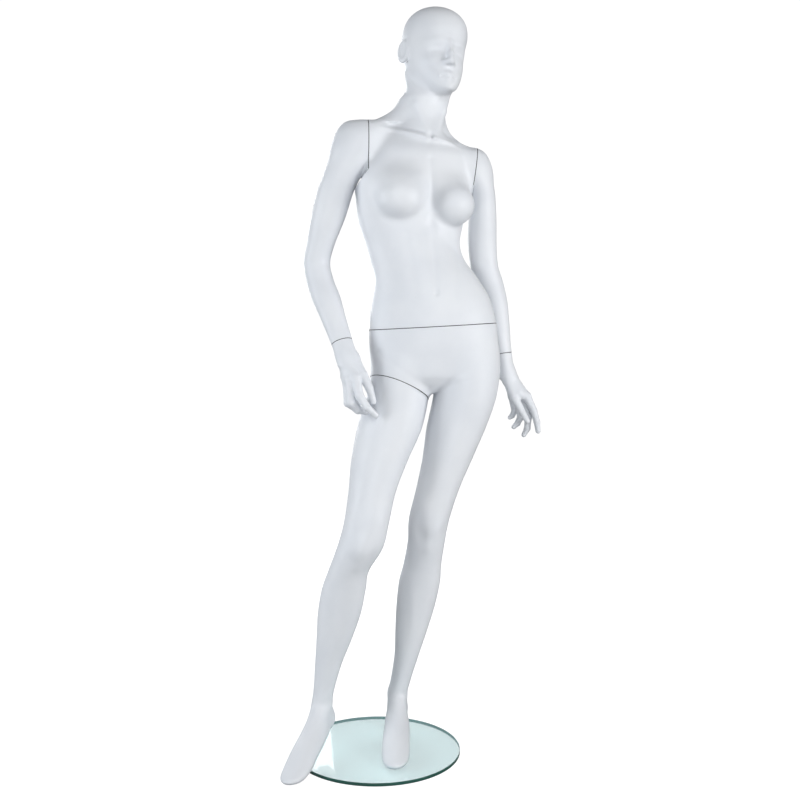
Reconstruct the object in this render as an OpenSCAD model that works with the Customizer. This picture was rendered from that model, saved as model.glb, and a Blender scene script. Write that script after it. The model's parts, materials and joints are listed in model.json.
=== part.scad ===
// Full body display mannequin, standing on a round glass base.
// +Z is up, the figure faces -Y, and the origin is the middle of the glass base's underside.

/* [Figure] */
// Height from the floor to the top of the head
figure_height = 1805; // [1650:5:1900]
// Wall of the moulded shells
shell_wall = 4; // [3:0.5:6]
// Thickness of the closing block behind each cut face
end_block = 22; // [20:1:30]
// Open gap at each parting line
seam_gap = 0.6; // [0.6:0.1:1.5]

/* [Base] */
// Diameter of the glass disc
disc_d = 400; // [380:5:450]
// Thickness of the glass disc
disc_t = 8; // [6:1:12]
// Diameter of the steel calf rod
rod_d = 12; // [10:1:14]
// Length of the calf rod, from the glass up
rod_length = 390; // [370:5:400]
// Diameter of the flange that holds the rod
flange_d = 46; // [40:1:48]

/* [Fittings] */
// Stud radius of the waist and thigh fittings
large_stud_r = 9; // [7:0.5:11]
// Stud radius of the shoulder fittings
medium_stud_r = 7; // [6:0.5:9]
// Stud radius of the wrist fittings
small_stud_r = 4; // [3.5:0.5:4.5]
// Radial clearance between a stud and its socket
running_fit = 0.06; // [0.03:0.01:0.1]

/* [Hidden] */

// The body tables below are drawn for a figure 1805 mm tall with its soles at 8.3 mm,
// and are scaled to figure_height.
table_sole = 8.3;
sole_z = disc_t + 0.3;
figure = (figure_height - sole_z) / (1805 - table_sole);
function placed(p) = figure * (p - [0, 0, table_sole]) + [0, 0, sole_z];
body_colour = [0.93, 0.94, 0.95];
steel_colour = [0.72, 0.73, 0.75];
plate_t = 3;
screw_r = 1.6;
screw_head_r = 2.9;
screw_head_t = 1.2;
screw_length = 14;
gasket_t = 1;
bolt_r = 5;
bolt_head_r = 11;
grub_r = 2.5;
rod_start = 25;
boss_end = 52;
sleeve_start = 288;
sleeve_end = rod_length + 5;
sleeve_r = rod_d / 2 + 3.5;
sleeve_grub = 345;

// Each row of a body table is a level section:
// [height, middle x, middle y, half width, depth in front, depth behind, turn about Z]
trunk_rows = [
    [868, 132, -10, 28, 40, 44, 2],
    [884, 136, -4, 92, 66, 88, 2],
    [912, 140, 0, 136, 84, 112, 3],
    [950, 140, 0, 153, 92, 120, 3],
    [995, 136, -2, 154, 95, 112, 3],
    [1045, 134, -4, 151, 94, 96, 4],
    [1090, 131, -3, 141, 90, 80, 6],
    [1140, 119, 0, 125, 83, 73, 8],
    [1185, 98, 6, 115, 79, 73, 11],
    [1225, 87, 13, 116, 79, 76, 14],
    [1270, 83, 22, 129, 82, 84, 17],
    [1325, 86, 29, 141, 86, 92, 19],
    [1380, 90, 33, 146, 84, 97, 19],
    [1420, 100, 37, 130, 76, 96, 19],
    [1450, 103, 40, 124, 68, 86, 19],
    [1480, 94, 46, 114, 54, 66, 19],
    [1505, 82, 49, 100, 40, 50, 18],
    [1530, 84, 52, 82, 34, 42, 15],
    [1556, 100, 55, 60, 38, 44, 10],
    [1575, 110, 56, 50, 44, 46, 10]
];
neck_rows = [
    [1480, 106, 40, 62, 52, 52, 10],
    [1530, 105, 50, 55, 48, 50, 14],
    [1570, 108, 55, 51, 49, 49, 18],
    [1610, 119, 58, 49, 50, 50, 22],
    [1660, 127, 60, 50, 52, 52, 26]
];
// The head is drawn about its own middle, between the ears, and then turned and tipped.
head_rows = [
    [-113, 0, -58, 9, 12, 12, 0],
    [-107, 0, -54, 23, 29, 22, 0],
    [-92, 0, -34, 39, 54, 30, 0],
    [-72, 0, -16, 52, 71, 42, 0],
    [-48, 0, -2, 61, 83, 64, 0],
    [-20, 0, 4, 69, 88, 85, 0],
    [15, 1, 6, 75, 93, 93, 0],
    [48, 3, 7, 78, 95, 94, 0],
    [78, 3, 8, 72, 87, 87, 0],
    [99, 2, 10, 58, 70, 72, 0],
    [113, 1, 12, 37, 45, 47, 0],
    [119, 1, 12, 11, 15, 15, 0]
];
head_middle = [138, 56, 1688];
head_turn = [-2, 5, 26];
right_arm_rows = [
    [968, -75, -60, 26, 20, 19, 0],
    [1008, -90, -43, 28, 23, 23, 0],
    [1050, -106, -25, 31, 29, 28, 0],
    [1095, -123, -3, 35, 34, 32, 0],
    [1140, -139, 17, 33, 36, 35, 0],
    [1180, -146, 23, 32, 34, 37, 0],
    [1225, -136, 17, 34, 35, 37, 0],
    [1285, -118, 7, 41, 39, 40, 0],
    [1345, -101, 1, 44, 43, 45, 0],
    [1385, -84, -1, 46, 47, 49, 0],
    [1415, -69, 0, 51, 51, 53, 4],
    [1450, -54, 0, 58, 54, 56, 5],
    [1484, -41, 1, 60, 49, 52, 5],
    [1505, -33, 3, 55, 38, 42, 5],
    [1516, -29, 5, 45, 24, 28, 5],
    [1520, -27, 6, 28, 12, 14, 5]
];
left_arm_rows = [
    [900, 324, 84, 19, 24, 24, 0],
    [940, 317, 86, 20, 25, 25, 0],
    [985, 309, 89, 23, 27, 27, 0],
    [1035, 300, 93, 29, 30, 30, 0],
    [1090, 290, 97, 34, 33, 33, 0],
    [1140, 277, 99, 36, 34, 36, 0],
    [1180, 266, 98, 35, 34, 36, 0],
    [1230, 261, 94, 36, 36, 37, 0],
    [1290, 261, 88, 35, 40, 41, 0],
    [1345, 261, 84, 32, 43, 45, 0],
    [1375, 253, 82, 36, 49, 51, 0],
    [1405, 238, 81, 49, 52, 54, 0],
    [1430, 227, 80, 54, 50, 52, 0],
    [1452, 220, 79, 50, 41, 43, 0],
    [1465, 216, 79, 38, 24, 26, 0],
    [1469, 214, 79, 24, 12, 13, 0]
];
right_leg_rows = [
    [125, -131, -22, 24, 29, 33, -12],
    [159, -126, -24, 25, 29, 32, -8],
    [220, -115, -30, 32, 31, 37, -6],
    [281, -101, -38, 42, 35, 48, -5],
    [345, -88, -48, 51, 39, 60, -4],
    [404, -77, -59, 52, 42, 62, -4],
    [450, -65, -70, 48, 45, 53, -4],
    [507, -38, -84, 54, 52, 49, -4],
    [563, -23, -80, 53, 55, 53, -4],
    [634, -10, -65, 56, 60, 60, 0],
    [706, 7, -48, 67, 67, 68, 0],
    [780, 30, -31, 77, 74, 78, 0],
    [855, 49, -14, 75, 81, 92, 0],
    [920, 59, -5, 71, 84, 108, 0],
    [965, 66, 0, 60, 74, 98, 0],
    [990, 76, 2, 38, 48, 66, 0]
];
left_leg_rows = [
    [125, 50, 52, 25, 30, 34, 0],
    [159, 58, 49, 25, 29, 33, 0],
    [220, 72, 42, 30, 31, 38, 3],
    [281, 83, 36, 39, 35, 49, 4],
    [345, 94, 28, 47, 39, 60, 4],
    [404, 103, 18, 50, 41, 61, 4],
    [450, 110, 10, 46, 44, 53, 4],
    [507, 119, 0, 45, 50, 49, 3],
    [563, 126, -5, 49, 54, 54, 3],
    [634, 146, -6, 52, 59, 61, 0],
    [706, 169, -6, 60, 67, 69, 0],
    [780, 190, -5, 71, 74, 79, 0],
    [855, 211, -3, 76, 82, 94, 0],
    [920, 219, 0, 75, 85, 110, 0],
    [965, 212, 1, 63, 74, 98, 0],
    [990, 204, 2, 40, 48, 66, 0]
];
// A foot stands on its ball with the heel raised. It is drawn pointing along -Y with its
// ankle above the origin: [height, middle x, middle y, half width, depth in front, depth behind, turn]
foot_rows = [
    [8.3, 0, -143, 24, 34, 36, 0],
    [12, 0, -142, 28, 46, 46, 0],
    [20, 1, -134, 32, 56, 58, 0],
    [34, 1, -111, 33, 56, 64, 0],
    [48, 1, -83, 32, 60, 67, 0],
    [62, 1, -54, 30, 62, 68, 0],
    [76, 0, -34, 27, 54, 68, 0],
    [92, 0, -20, 24, 44, 54, 0],
    [110, 0, -8, 23, 36, 43, 0],
    [128, 0, 0, 24, 31, 36, 0],
    [150, 0, 0, 23, 28, 31, 0]
];

// Parting planes: a point on the plane and the direction out of the first-named piece.
function unit(v) = v / norm(v);
waist_point = placed([133, 0, 1024]);
waist_normal = unit([-0.055, -0.03, 1]);
thigh_point = placed([56, -10, 871]);
thigh_normal = unit([-0.407, -0.31, -1]);
right_shoulder_point = placed([-22, 0, 1455]);
right_shoulder_normal = unit([-1, -0.09, 0]);
left_shoulder_point = placed([240, 80, 1418]);
left_shoulder_normal = unit([1, 0.03, -0.13]);
right_wrist_point = placed([-81, -53, 985]);
right_wrist_normal = unit([0.336, -0.403, -0.85]);
left_wrist_point = placed([314.5, 88, 959]);
left_wrist_normal = unit([0.15, -0.05, -1]);
right_armpit = placed([-22, 0, 1398]);
left_armpit = placed([234, 80, 1372]);

// The calf rod leans forward into the back of the left calf.
rod_foot = [50 * figure, 120 * figure, disc_t];
rod_lean = unit([34, -62, 387]);

// Catmull-Rom curve through four rows
function curve(a, b, c, d, t) = 0.5 * (2 * b + (c - a) * t + (2 * a - 5 * b + 4 * c - d) * t * t
    + (3 * b - a - 3 * c + d) * t * t * t);
function row_at(rows, u) = let (
    last = len(rows) - 1,
    i = min(floor(u), last - 1)
) curve(rows[max(i - 1, 0)], rows[i], rows[i + 1], rows[min(i + 2, last)], u - i);

function section(row, sides, inset) = [
    for (k = [0:sides - 1])
        let (
            a = 360 * k / sides,
            x = max(row[3] - inset, 0.5) * cos(a),
            y = max((sin(a) < 0 ? row[4] : row[5]) - inset, 0.5) * sin(a)
        )
        [row[1] + x * cos(row[6]) - y * sin(row[6]), row[2] + x * sin(row[6]) + y * cos(row[6]), row[0]]
];

// A smooth solid through level sections
module loft(rows, sides = 32, steps = 2, inset = 0) {
    rings = (len(rows) - 1) * steps;
    points = [for (j = [0:rings]) each section(row_at(rows, j / steps), sides, inset)];
    walls = [
        for (j = [0:rings - 1], k = [0:sides - 1])
            let (next = (k + 1) % sides)
            [j * sides + k, (j + 1) * sides + k, (j + 1) * sides + next, j * sides + next]
    ];
    floor_face = [[for (k = [0:sides - 1]) k]];
    roof_face = [[for (k = [sides - 1:-1:0]) rings * sides + k]];
    polyhedron(points, concat(floor_face, walls, roof_face), convexity = 6);
}

// One closed mesh of everything inside it
module moulded() {
    resize([0, 0, 0]) children();
}

// Scales a shape drawn in the tables' own measure
module body() {
    translate([0, 0, sole_z]) scale(figure) translate([0, 0, -table_sole]) children();
}

// Puts its children at a point with their Z axis along a direction
module along(point, direction) {
    translate(point) rotate([0, acos(direction[2]), atan2(direction[1], direction[0])]) children();
}

// All space past a plane, moved on by a distance
module beyond(point, normal, on = 0) {
    along(point, normal) translate([-900, -900, on]) cube([1800, 1800, 2000]);
}

module blob(at, radii, turn = 0, sides = 20) {
    translate(at) rotate([0, 0, turn]) scale(radii) sphere(1, $fn = sides);
}

// ---- shapes of the body, drawn at the table's height ----

module head_shape() {
    translate(head_middle) rotate(head_turn) {
        loft(head_rows, 24);
        face_shape();
    }
}

module head_hollow() {
    translate(head_middle) rotate(head_turn) intersection() {
        loft(head_rows, 14, 1, shell_wall);
        translate([-150, -150, -98]) cube([300, 300, 202]);
    }
}

module face_shape() {
    // nose
    hull() {
        blob([0, -83, -2], [6, 8, 8], 0, 12);
        blob([0, -98, -37], [7, 8, 6], 0, 12);
    }
    blob([8, -88, -40], [6, 9, 5], 0, 12);
    blob([-8, -88, -40], [6, 9, 5], 0, 12);
    // lips and chin
    blob([0, -80, -67], [21, 11, 5], 0, 16);
    blob([0, -79, -75], [18, 11, 6], 0, 16);
    blob([0, -68, -98], [20, 20, 13]);
    // ears
    for (side = [-1, 1])
        translate([side * 80, 12, 2]) rotate([12, 0, side * 30]) scale([8, 19, 31]) sphere(1, $fn = 14);
}

// The top of an arm, inside its parting plane
module shoulder_root(rows, point, normal) {
    difference() {
        body() loft(rows, 22);
        beyond(point, normal, -seam_gap / 2);
    }
}

module breasts_shape() {
    blob([54, -54, 1324], [54, 52, 54], 14, 18);
    blob([172, -18, 1308], [56, 52, 54], 28, 18);
}

// The space that an arm takes at the shoulder, outside the parting plane and above the armpit
module arm_space(point, normal, armpit, on = 0) {
    intersection() {
        beyond(point, normal, -on);
        beyond(armpit, unit([normal[0] * 1.4, normal[1] * 1.4, 1]), -on);
        translate(point - [250, 250, 250]) cube(500);
    }
}

module arm_spaces(on = 0) {
    arm_space(right_shoulder_point, right_shoulder_normal, right_armpit, on);
    arm_space(left_shoulder_point, left_shoulder_normal, left_armpit, on);
}

// A foot with its heel
module foot() {
    loft(foot_rows, 20);
    blob([0, 16, 82], [24, 27, 30], 0, 14);
}

// ---- fittings ----
// A stud with a cross bar turns in a socket with a matching slot and holds two pieces face to
// face. Both are drawn with the socket piece's face at z = 0, and the socket goes down from it.

function plate_r(stud_r) = 2.6 * stud_r + 4;
function screw_ring_r(stud_r) = 2.6 * stud_r + 0.4;
function bar_r(stud_r) = 1.6 * stud_r;
function bar_t(stud_r) = 0.45 * stud_r + 1;
function socket_depth(stud_r) = plate_t + bar_t(stud_r) + 2.5;

module at_screws(stud_r) {
    for (k = [0:2])
        rotate([0, 0, 120 * k + 45]) translate([screw_ring_r(stud_r), 0, 0]) children();
}

module screw() {
    translate([0, 0, -screw_length]) cylinder(r = screw_r, h = screw_length, $fn = 24);
    translate([0, 0, -screw_head_t]) cylinder(r = screw_head_r, h = screw_head_t, $fn = 24);
}

module screw_hole() {
    translate([0, 0, -plate_t - 1]) cylinder(r = screw_r + 0.05, h = plate_t + 2, $fn = 24);
    translate([0, 0, -screw_head_t]) cylinder(r = screw_head_r + 0.1, h = screw_head_t + 1, $fn = 24);
}

module socket(stud_r) {
    depth = socket_depth(stud_r);
    difference() {
        union() {
            translate([0, 0, -plate_t]) cylinder(r = plate_r(stud_r), h = plate_t, $fn = 64);
            translate([0, 0, -depth]) cylinder(r = bar_r(stud_r) + 1.6, h = depth - 1, $fn = 64);
        }
        translate([0, 0, -plate_t - 1]) cylinder(r = stud_r + running_fit, h = plate_t + 2, $fn = 64);
        translate([0, 0, 1.5 - depth])
            cylinder(r = bar_r(stud_r) + 0.4, h = depth - plate_t - 1.5, $fn = 64);
        translate([-bar_r(stud_r) - 0.3, -0.45 * stud_r - 0.3, -plate_t - 1])
            cube([2 * bar_r(stud_r) + 0.6, 0.9 * stud_r + 0.6, plate_t + 2]);
        at_screws(stud_r) screw_hole();
    }
}

module peg(stud_r) {
    bar_z = -plate_t - bar_t(stud_r) - 0.5;
    difference() {
        union() {
            translate([0, 0, seam_gap]) cylinder(r = plate_r(stud_r), h = plate_t, $fn = 64);
            translate([0, 0, bar_z]) cylinder(r = stud_r, h = seam_gap + 1 - bar_z, $fn = 64);
            translate([0, 0, bar_z]) intersection() {
                cylinder(r = bar_r(stud_r), h = bar_t(stud_r), $fn = 64);
                translate([-0.45 * stud_r, -bar_r(stud_r), 0])
                    cube([0.9 * stud_r, 2 * bar_r(stud_r), bar_t(stud_r)]);
            }
        }
        in_peg_piece() at_screws(stud_r) screw_hole();
    }
}

// Turns a shape that goes down from z = 0 into one that goes up from the peg piece's face
module in_peg_piece() {
    translate([0, 0, seam_gap]) mirror([0, 0, 1]) children();
}

// The recess that a plate sits in, with its screw holes, the cup's well and a vent
module fitting_recess(stud_r, well) {
    translate([0, 0, -plate_t]) cylinder(r = plate_r(stud_r) + 0.2, h = plate_t + 5, $fn = 32);
    translate([0, 0, -well]) cylinder(r = bar_r(stud_r) + 1.8, h = well, $fn = 24);
    translate([0, 0, -end_block - 6]) cylinder(r = bar_r(stud_r) - 1, h = end_block + 6, $fn = 12);
    at_screws(stud_r) translate([0, 0, -screw_length - 0.2])
        cylinder(r = screw_r + 0.15, h = screw_length, $fn = 8);
}

module socket_recess(point, normal, stud_r) {
    along(point - normal * seam_gap / 2, normal) fitting_recess(stud_r, socket_depth(stud_r));
}

module peg_recess(point, normal, stud_r) {
    along(point - normal * seam_gap / 2, normal) in_peg_piece() fitting_recess(stud_r, plate_t);
}

// Puts a fitting drawn at z = 0 on a parting plane
module on_plane(point, normal) {
    along(point - normal * seam_gap / 2, normal) children();
}

// ---- the shells ----

module rod_axis(start, end, r) {
    along(rod_foot, rod_lean) translate([0, 0, start]) cylinder(r = r, h = end - start, $fn = 48);
}

module glass_base() {
    color([0.75, 0.9, 0.86, 0.5])
    difference() {
        cylinder(d = disc_d, h = disc_t, $fn = 128);
        translate([rod_foot[0], rod_foot[1], -1]) cylinder(r = bolt_r + 0.6, h = disc_t + 2, $fn = 48);
        translate([rod_foot[0], rod_foot[1], -1]) cylinder(r = bolt_head_r + 0.5, h = 4.5, $fn = 48);
    }
}

module flange_gasket() {
    color([0.12, 0.12, 0.12])
    translate(rod_foot) difference() {
        cylinder(d = flange_d, h = gasket_t, $fn = 64);
        translate([0, 0, -1]) cylinder(r = bolt_r + 0.6, h = gasket_t + 2, $fn = 48);
    }
}

module base_flange() {
    color(steel_colour)
    difference() {
        union() {
            translate(rod_foot + [0, 0, gasket_t]) cylinder(d = flange_d, h = 4, $fn = 64);
            translate(rod_foot + [0, 0, gasket_t]) cylinder(r = 12, h = 18, $fn = 64);
            rod_axis(14, boss_end, rod_d / 2 + 5);
        }
        rod_axis(rod_start - 0.3, boss_end + 1, rod_d / 2 + running_fit);
        translate(rod_foot) cylinder(r = bolt_r + 0.05, h = 16, $fn = 48);
        grub_axis(boss_end - 10) cylinder(r = grub_r + 0.05, h = 30, $fn = 32);
    }
}

// The axis of a grub screw: square to the rod, pointing back
module grub_axis(height) {
    along(rod_foot, rod_lean) translate([0, 0, height]) rotate([0, 90, 180]) children();
}

module base_bolt() {
    color(steel_colour)
    difference() {
        union() {
            translate([rod_foot[0], rod_foot[1], 0.5]) cylinder(r = bolt_head_r, h = 3, $fn = 48);
            translate([rod_foot[0], rod_foot[1], 0.5]) cylinder(r = bolt_r, h = disc_t + 15, $fn = 48);
        }
        translate([rod_foot[0], rod_foot[1], 0]) cylinder(r = 3, h = 2.5, $fn = 6);
    }
}

module support_rod() {
    color(steel_colour) rod_axis(rod_start, rod_length, rod_d / 2);
}

module grub_screw(height, length, gap) {
    grub_axis(height) translate([0, 0, rod_d / 2 + gap]) difference() {
        cylinder(r = grub_r, h = length, $fn = 32);
        translate([0, 0, length - 2.5]) cylinder(r = 1.5, h = 3, $fn = 6);
    }
}

module flange_grub_screw() {
    color(steel_colour) grub_screw(boss_end - 10, 6, 0);
}

module calf_socket() {
    color(steel_colour)
    difference() {
        rod_axis(sleeve_start, sleeve_end, sleeve_r);
        rod_axis(sleeve_start - 1, rod_length + 0.1, rod_d / 2 + running_fit);
        grub_axis(sleeve_grub) cylinder(r = grub_r + 0.05, h = 30, $fn = 32);
    }
}

module calf_grub_screw() {
    color(steel_colour) grub_screw(sleeve_grub, 9, 0.3);
}

module hips_left_leg() {
    color(body_colour)
    moulded() difference() {
        union() {
            pelvis();
            body() {
                loft(left_leg_rows, 24);
                translate([49, 52, 0]) rotate([0, 0, -2]) foot();
            }
        }
        beyond(waist_point, waist_normal, -seam_gap / 2);
        difference() {
            union() {
                pelvis(shell_wall, end_block, 16, 1);
                body() loft(left_leg_rows, 14, 1, shell_wall);
            }
            beyond(waist_point, waist_normal, -end_block);
            ankle_block();
            crotch_block();
            rod_axis(180, rod_length + 30, 19);
        }
        socket_recess(waist_point, waist_normal, large_stud_r);
        socket_recess(thigh_point, thigh_normal, large_stud_r);
        rod_axis(150, sleeve_start, rod_d / 2 + 0.6);
        rod_axis(sleeve_start - 0.2, sleeve_end + 0.2, sleeve_r + 0.1);
        grub_axis(sleeve_grub) cylinder(r = grub_r + 0.3, h = 60, $fn = 20);
    }
}

// The hips and the root of the right leg, down to its parting plane
module pelvis(inset = 0, back_from_cut = seam_gap / 2, sides = 30, steps = 2) {
    difference() {
        body() {
            loft(trunk_rows, sides, steps, inset);
            loft(right_leg_rows, sides, steps, inset);
        }
        beyond(thigh_point, thigh_normal, -back_from_cut);
    }
}

// Where the legs are solid, below the calf
module ankle_block() {
    translate([-500, -500, -100]) cube([1000, 1000, 250]);
}

// Where the shell closes between the legs
module crotch_block() {
    body() translate([134, 0, 860]) cube([44, 400, 50], center = true);
}

module right_leg() {
    color(body_colour)
    moulded() difference() {
        body() {
            loft(right_leg_rows, 24);
            translate([-131, -22, 0]) rotate([0, 0, -19.5]) foot();
        }
        beyond(thigh_point, -thigh_normal, -seam_gap / 2);
        difference() {
            body() loft(right_leg_rows, 14, 1, shell_wall);
            beyond(thigh_point, -thigh_normal, -end_block);
            ankle_block();
        }
        peg_recess(thigh_point, thigh_normal, large_stud_r);
    }
}

module torso_head() {
    color(body_colour)
    moulded() difference() {
        union() {
            body() {
                loft(trunk_rows, 30);
                loft(neck_rows, 22);
                head_shape();
                breasts_shape();
            }
            shoulder_root(right_arm_rows, right_shoulder_point, right_shoulder_normal);
            shoulder_root(left_arm_rows, left_shoulder_point, left_shoulder_normal);
        }
        beyond(waist_point, -waist_normal, -seam_gap / 2);
        arm_spaces(seam_gap / 2);
        difference() {
            body() {
                loft(trunk_rows, 16, 1, shell_wall);
                loft(neck_rows, 14, 1, shell_wall);
                head_hollow();
            }
            beyond(waist_point, -waist_normal, -end_block);
            arm_spaces(end_block);
        }
        peg_recess(waist_point, waist_normal, large_stud_r);
        socket_recess(right_shoulder_point, right_shoulder_normal, medium_stud_r);
        socket_recess(left_shoulder_point, left_shoulder_normal, medium_stud_r);
    }
}

// A hollow arm between two parting planes. Its hollow stops at the crown, above the shoulder's middle.
module arm_shell(rows, shoulder, shoulder_normal, crown, wrist, wrist_normal) {
    color(body_colour)
    moulded() difference() {
        body() loft(rows, 22);
        beyond(shoulder, -shoulder_normal, -seam_gap / 2);
        beyond(wrist, wrist_normal, -seam_gap / 2);
        difference() {
            body() loft(rows, 12, 1, shell_wall);
            beyond(shoulder, -shoulder_normal, -end_block);
            beyond(wrist, wrist_normal, -end_block);
            beyond(shoulder, [0, 0, 1], crown);
        }
        peg_recess(shoulder, shoulder_normal, medium_stud_r);
        socket_recess(wrist, wrist_normal, small_stud_r);
    }
}

module right_arm() {
    arm_shell(right_arm_rows, right_shoulder_point, right_shoulder_normal, 42,
        right_wrist_point, right_wrist_normal);
}

module left_arm() {
    arm_shell(left_arm_rows, left_shoulder_point, left_shoulder_normal, 34,
        left_wrist_point, left_wrist_normal);
}

// A digit through its joints: each is [x, y, z, radius]
module digit(joints) {
    for (k = [0:len(joints) - 2])
        hull() {
            knuckle(joints[k]);
            knuckle(joints[k + 1]);
        }
}

module knuckle(joint) {
    translate([joint[0], joint[1], joint[2]]) sphere(joint[3], $fn = 10);
}

module hand_shell(rows, wrist, wrist_normal, heel, digits) {
    color(body_colour)
    moulded() difference() {
        body() {
            loft(rows, 22);
            for (joints = digits) digit(joints);
            hull() {
                blob(heel, [22, 18, 20], 0, 16);
                for (k = [1:4]) knuckle(digits[k][0]);
            }
        }
        beyond(wrist, -wrist_normal, -seam_gap / 2);
        peg_recess(wrist, wrist_normal, small_stud_r);
    }
}

// Thumb first, then the index to the little finger
right_digits = [
    [[-56, -68, 948, 15], [-32, -84, 910, 12], [-16, -92, 880, 9.5], [-6, -96, 848, 7]],
    [[-47, -92, 902, 12], [-38, -108, 863, 10], [-20, -112, 836, 8.5], [0, -106, 817, 7]],
    [[-58, -86, 896, 12], [-59, -100, 844, 9.5], [-42, -88, 827, 8.5], [-24, -78, 822, 7]],
    [[-67, -76, 897, 11], [-64, -86, 848, 9], [-49, -72, 831, 8], [-32, -62, 826, 6.5]],
    [[-73, -64, 906, 10], [-67, -70, 864, 8], [-55, -58, 849, 7], [-42, -50, 840, 6]]
];
left_digits = [
    [[324, 72, 893, 14], [339, 58, 848, 11], [356, 52, 815, 8.5], [369, 50, 792, 6.5]],
    [[370, 74, 852, 11], [387, 74, 818, 9], [396, 76, 789, 8], [399, 78, 766, 6.5]],
    [[361, 88, 846, 11], [376, 88, 800, 9], [374, 92, 772, 8], [366, 95, 755, 6.5]],
    [[350, 100, 845, 11], [359, 104, 799, 8.5], [351, 106, 783, 7.5], [342, 107, 774, 6]],
    [[338, 110, 852, 10], [345, 116, 814, 8], [339, 116, 802, 7], [333, 116, 797, 5.5]]
];

module right_hand() {
    hand_shell(right_arm_rows, right_wrist_point, right_wrist_normal, [-73, -62, 955], right_digits);
}

module left_hand() {
    hand_shell(left_arm_rows, left_wrist_point, left_wrist_normal, [323, 84, 908], left_digits);
}

// ---- the fittings in their places ----

module placed_socket(point, normal, stud_r) {
    color(steel_colour) on_plane(point, normal) socket(stud_r);
}

module placed_peg(point, normal, stud_r) {
    color(steel_colour) on_plane(point, normal) peg(stud_r);
}

module socket_screws(point, normal, stud_r) {
    color(steel_colour) on_plane(point, normal) at_screws(stud_r) screw();
}

module peg_screws(point, normal, stud_r) {
    color(steel_colour) on_plane(point, normal) in_peg_piece() at_screws(stud_r) screw();
}

module waist_socket() { placed_socket(waist_point, waist_normal, large_stud_r); }
module waist_socket_screws() { socket_screws(waist_point, waist_normal, large_stud_r); }
module waist_peg() { placed_peg(waist_point, waist_normal, large_stud_r); }
module waist_peg_screws() { peg_screws(waist_point, waist_normal, large_stud_r); }
module thigh_socket() { placed_socket(thigh_point, thigh_normal, large_stud_r); }
module thigh_socket_screws() { socket_screws(thigh_point, thigh_normal, large_stud_r); }
module thigh_peg() { placed_peg(thigh_point, thigh_normal, large_stud_r); }
module thigh_peg_screws() { peg_screws(thigh_point, thigh_normal, large_stud_r); }

module right_shoulder_socket() {
    placed_socket(right_shoulder_point, right_shoulder_normal, medium_stud_r);
}

module left_shoulder_socket() {
    placed_socket(left_shoulder_point, left_shoulder_normal, medium_stud_r);
}

module shoulder_socket_screws() {
    socket_screws(right_shoulder_point, right_shoulder_normal, medium_stud_r);
    socket_screws(left_shoulder_point, left_shoulder_normal, medium_stud_r);
}

module right_shoulder_peg() { placed_peg(right_shoulder_point, right_shoulder_normal, medium_stud_r); }
module left_shoulder_peg() { placed_peg(left_shoulder_point, left_shoulder_normal, medium_stud_r); }

// The screws in an arm: three in the shoulder plate and three in the wrist plate
module right_arm_screws() {
    peg_screws(right_shoulder_point, right_shoulder_normal, medium_stud_r);
    socket_screws(right_wrist_point, right_wrist_normal, small_stud_r);
}

module left_arm_screws() {
    peg_screws(left_shoulder_point, left_shoulder_normal, medium_stud_r);
    socket_screws(left_wrist_point, left_wrist_normal, small_stud_r);
}

module right_wrist_socket() { placed_socket(right_wrist_point, right_wrist_normal, small_stud_r); }
module left_wrist_socket() { placed_socket(left_wrist_point, left_wrist_normal, small_stud_r); }
module right_wrist_peg() { placed_peg(right_wrist_point, right_wrist_normal, small_stud_r); }
module left_wrist_peg() { placed_peg(left_wrist_point, left_wrist_normal, small_stud_r); }
module right_wrist_peg_screws() { peg_screws(right_wrist_point, right_wrist_normal, small_stud_r); }
module left_wrist_peg_screws() { peg_screws(left_wrist_point, left_wrist_normal, small_stud_r); }

glass_base();
flange_gasket();
base_flange();
base_bolt();
support_rod();
flange_grub_screw();
hips_left_leg();
calf_socket();
calf_grub_screw();
waist_socket();
waist_socket_screws();
thigh_socket();
thigh_socket_screws();
right_leg();
thigh_peg();
thigh_peg_screws();
torso_head();
waist_peg();
waist_peg_screws();
right_shoulder_socket();
left_shoulder_socket();
shoulder_socket_screws();
right_arm();
right_shoulder_peg();
right_arm_screws();
right_wrist_socket();
right_hand();
right_wrist_peg();
right_wrist_peg_screws();
left_arm();
left_shoulder_peg();
left_arm_screws();
left_wrist_socket();
left_hand();
left_wrist_peg();
left_wrist_peg_screws();
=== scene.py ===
"""Full body display mannequin on a round glass base: the looks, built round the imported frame."""
import json
import math

import bmesh
import bpy
import numpy as np
from mathutils import Matrix, Vector


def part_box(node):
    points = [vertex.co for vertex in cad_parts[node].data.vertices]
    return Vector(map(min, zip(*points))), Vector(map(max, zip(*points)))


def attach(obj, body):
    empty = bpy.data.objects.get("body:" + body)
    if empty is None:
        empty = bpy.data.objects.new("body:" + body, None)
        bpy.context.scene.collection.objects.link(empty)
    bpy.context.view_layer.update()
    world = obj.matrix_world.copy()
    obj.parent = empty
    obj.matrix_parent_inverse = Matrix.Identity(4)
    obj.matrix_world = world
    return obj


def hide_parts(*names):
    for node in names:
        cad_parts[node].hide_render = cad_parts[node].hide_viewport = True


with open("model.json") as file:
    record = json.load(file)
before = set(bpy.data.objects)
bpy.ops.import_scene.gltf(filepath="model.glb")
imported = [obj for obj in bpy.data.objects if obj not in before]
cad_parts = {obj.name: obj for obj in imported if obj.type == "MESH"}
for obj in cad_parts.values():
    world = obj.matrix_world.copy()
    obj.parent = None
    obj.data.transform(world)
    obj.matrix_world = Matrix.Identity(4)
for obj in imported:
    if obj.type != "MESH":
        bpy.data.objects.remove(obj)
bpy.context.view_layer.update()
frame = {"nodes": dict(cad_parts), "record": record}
MM = 0.001
COARSE = 1.0

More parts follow.
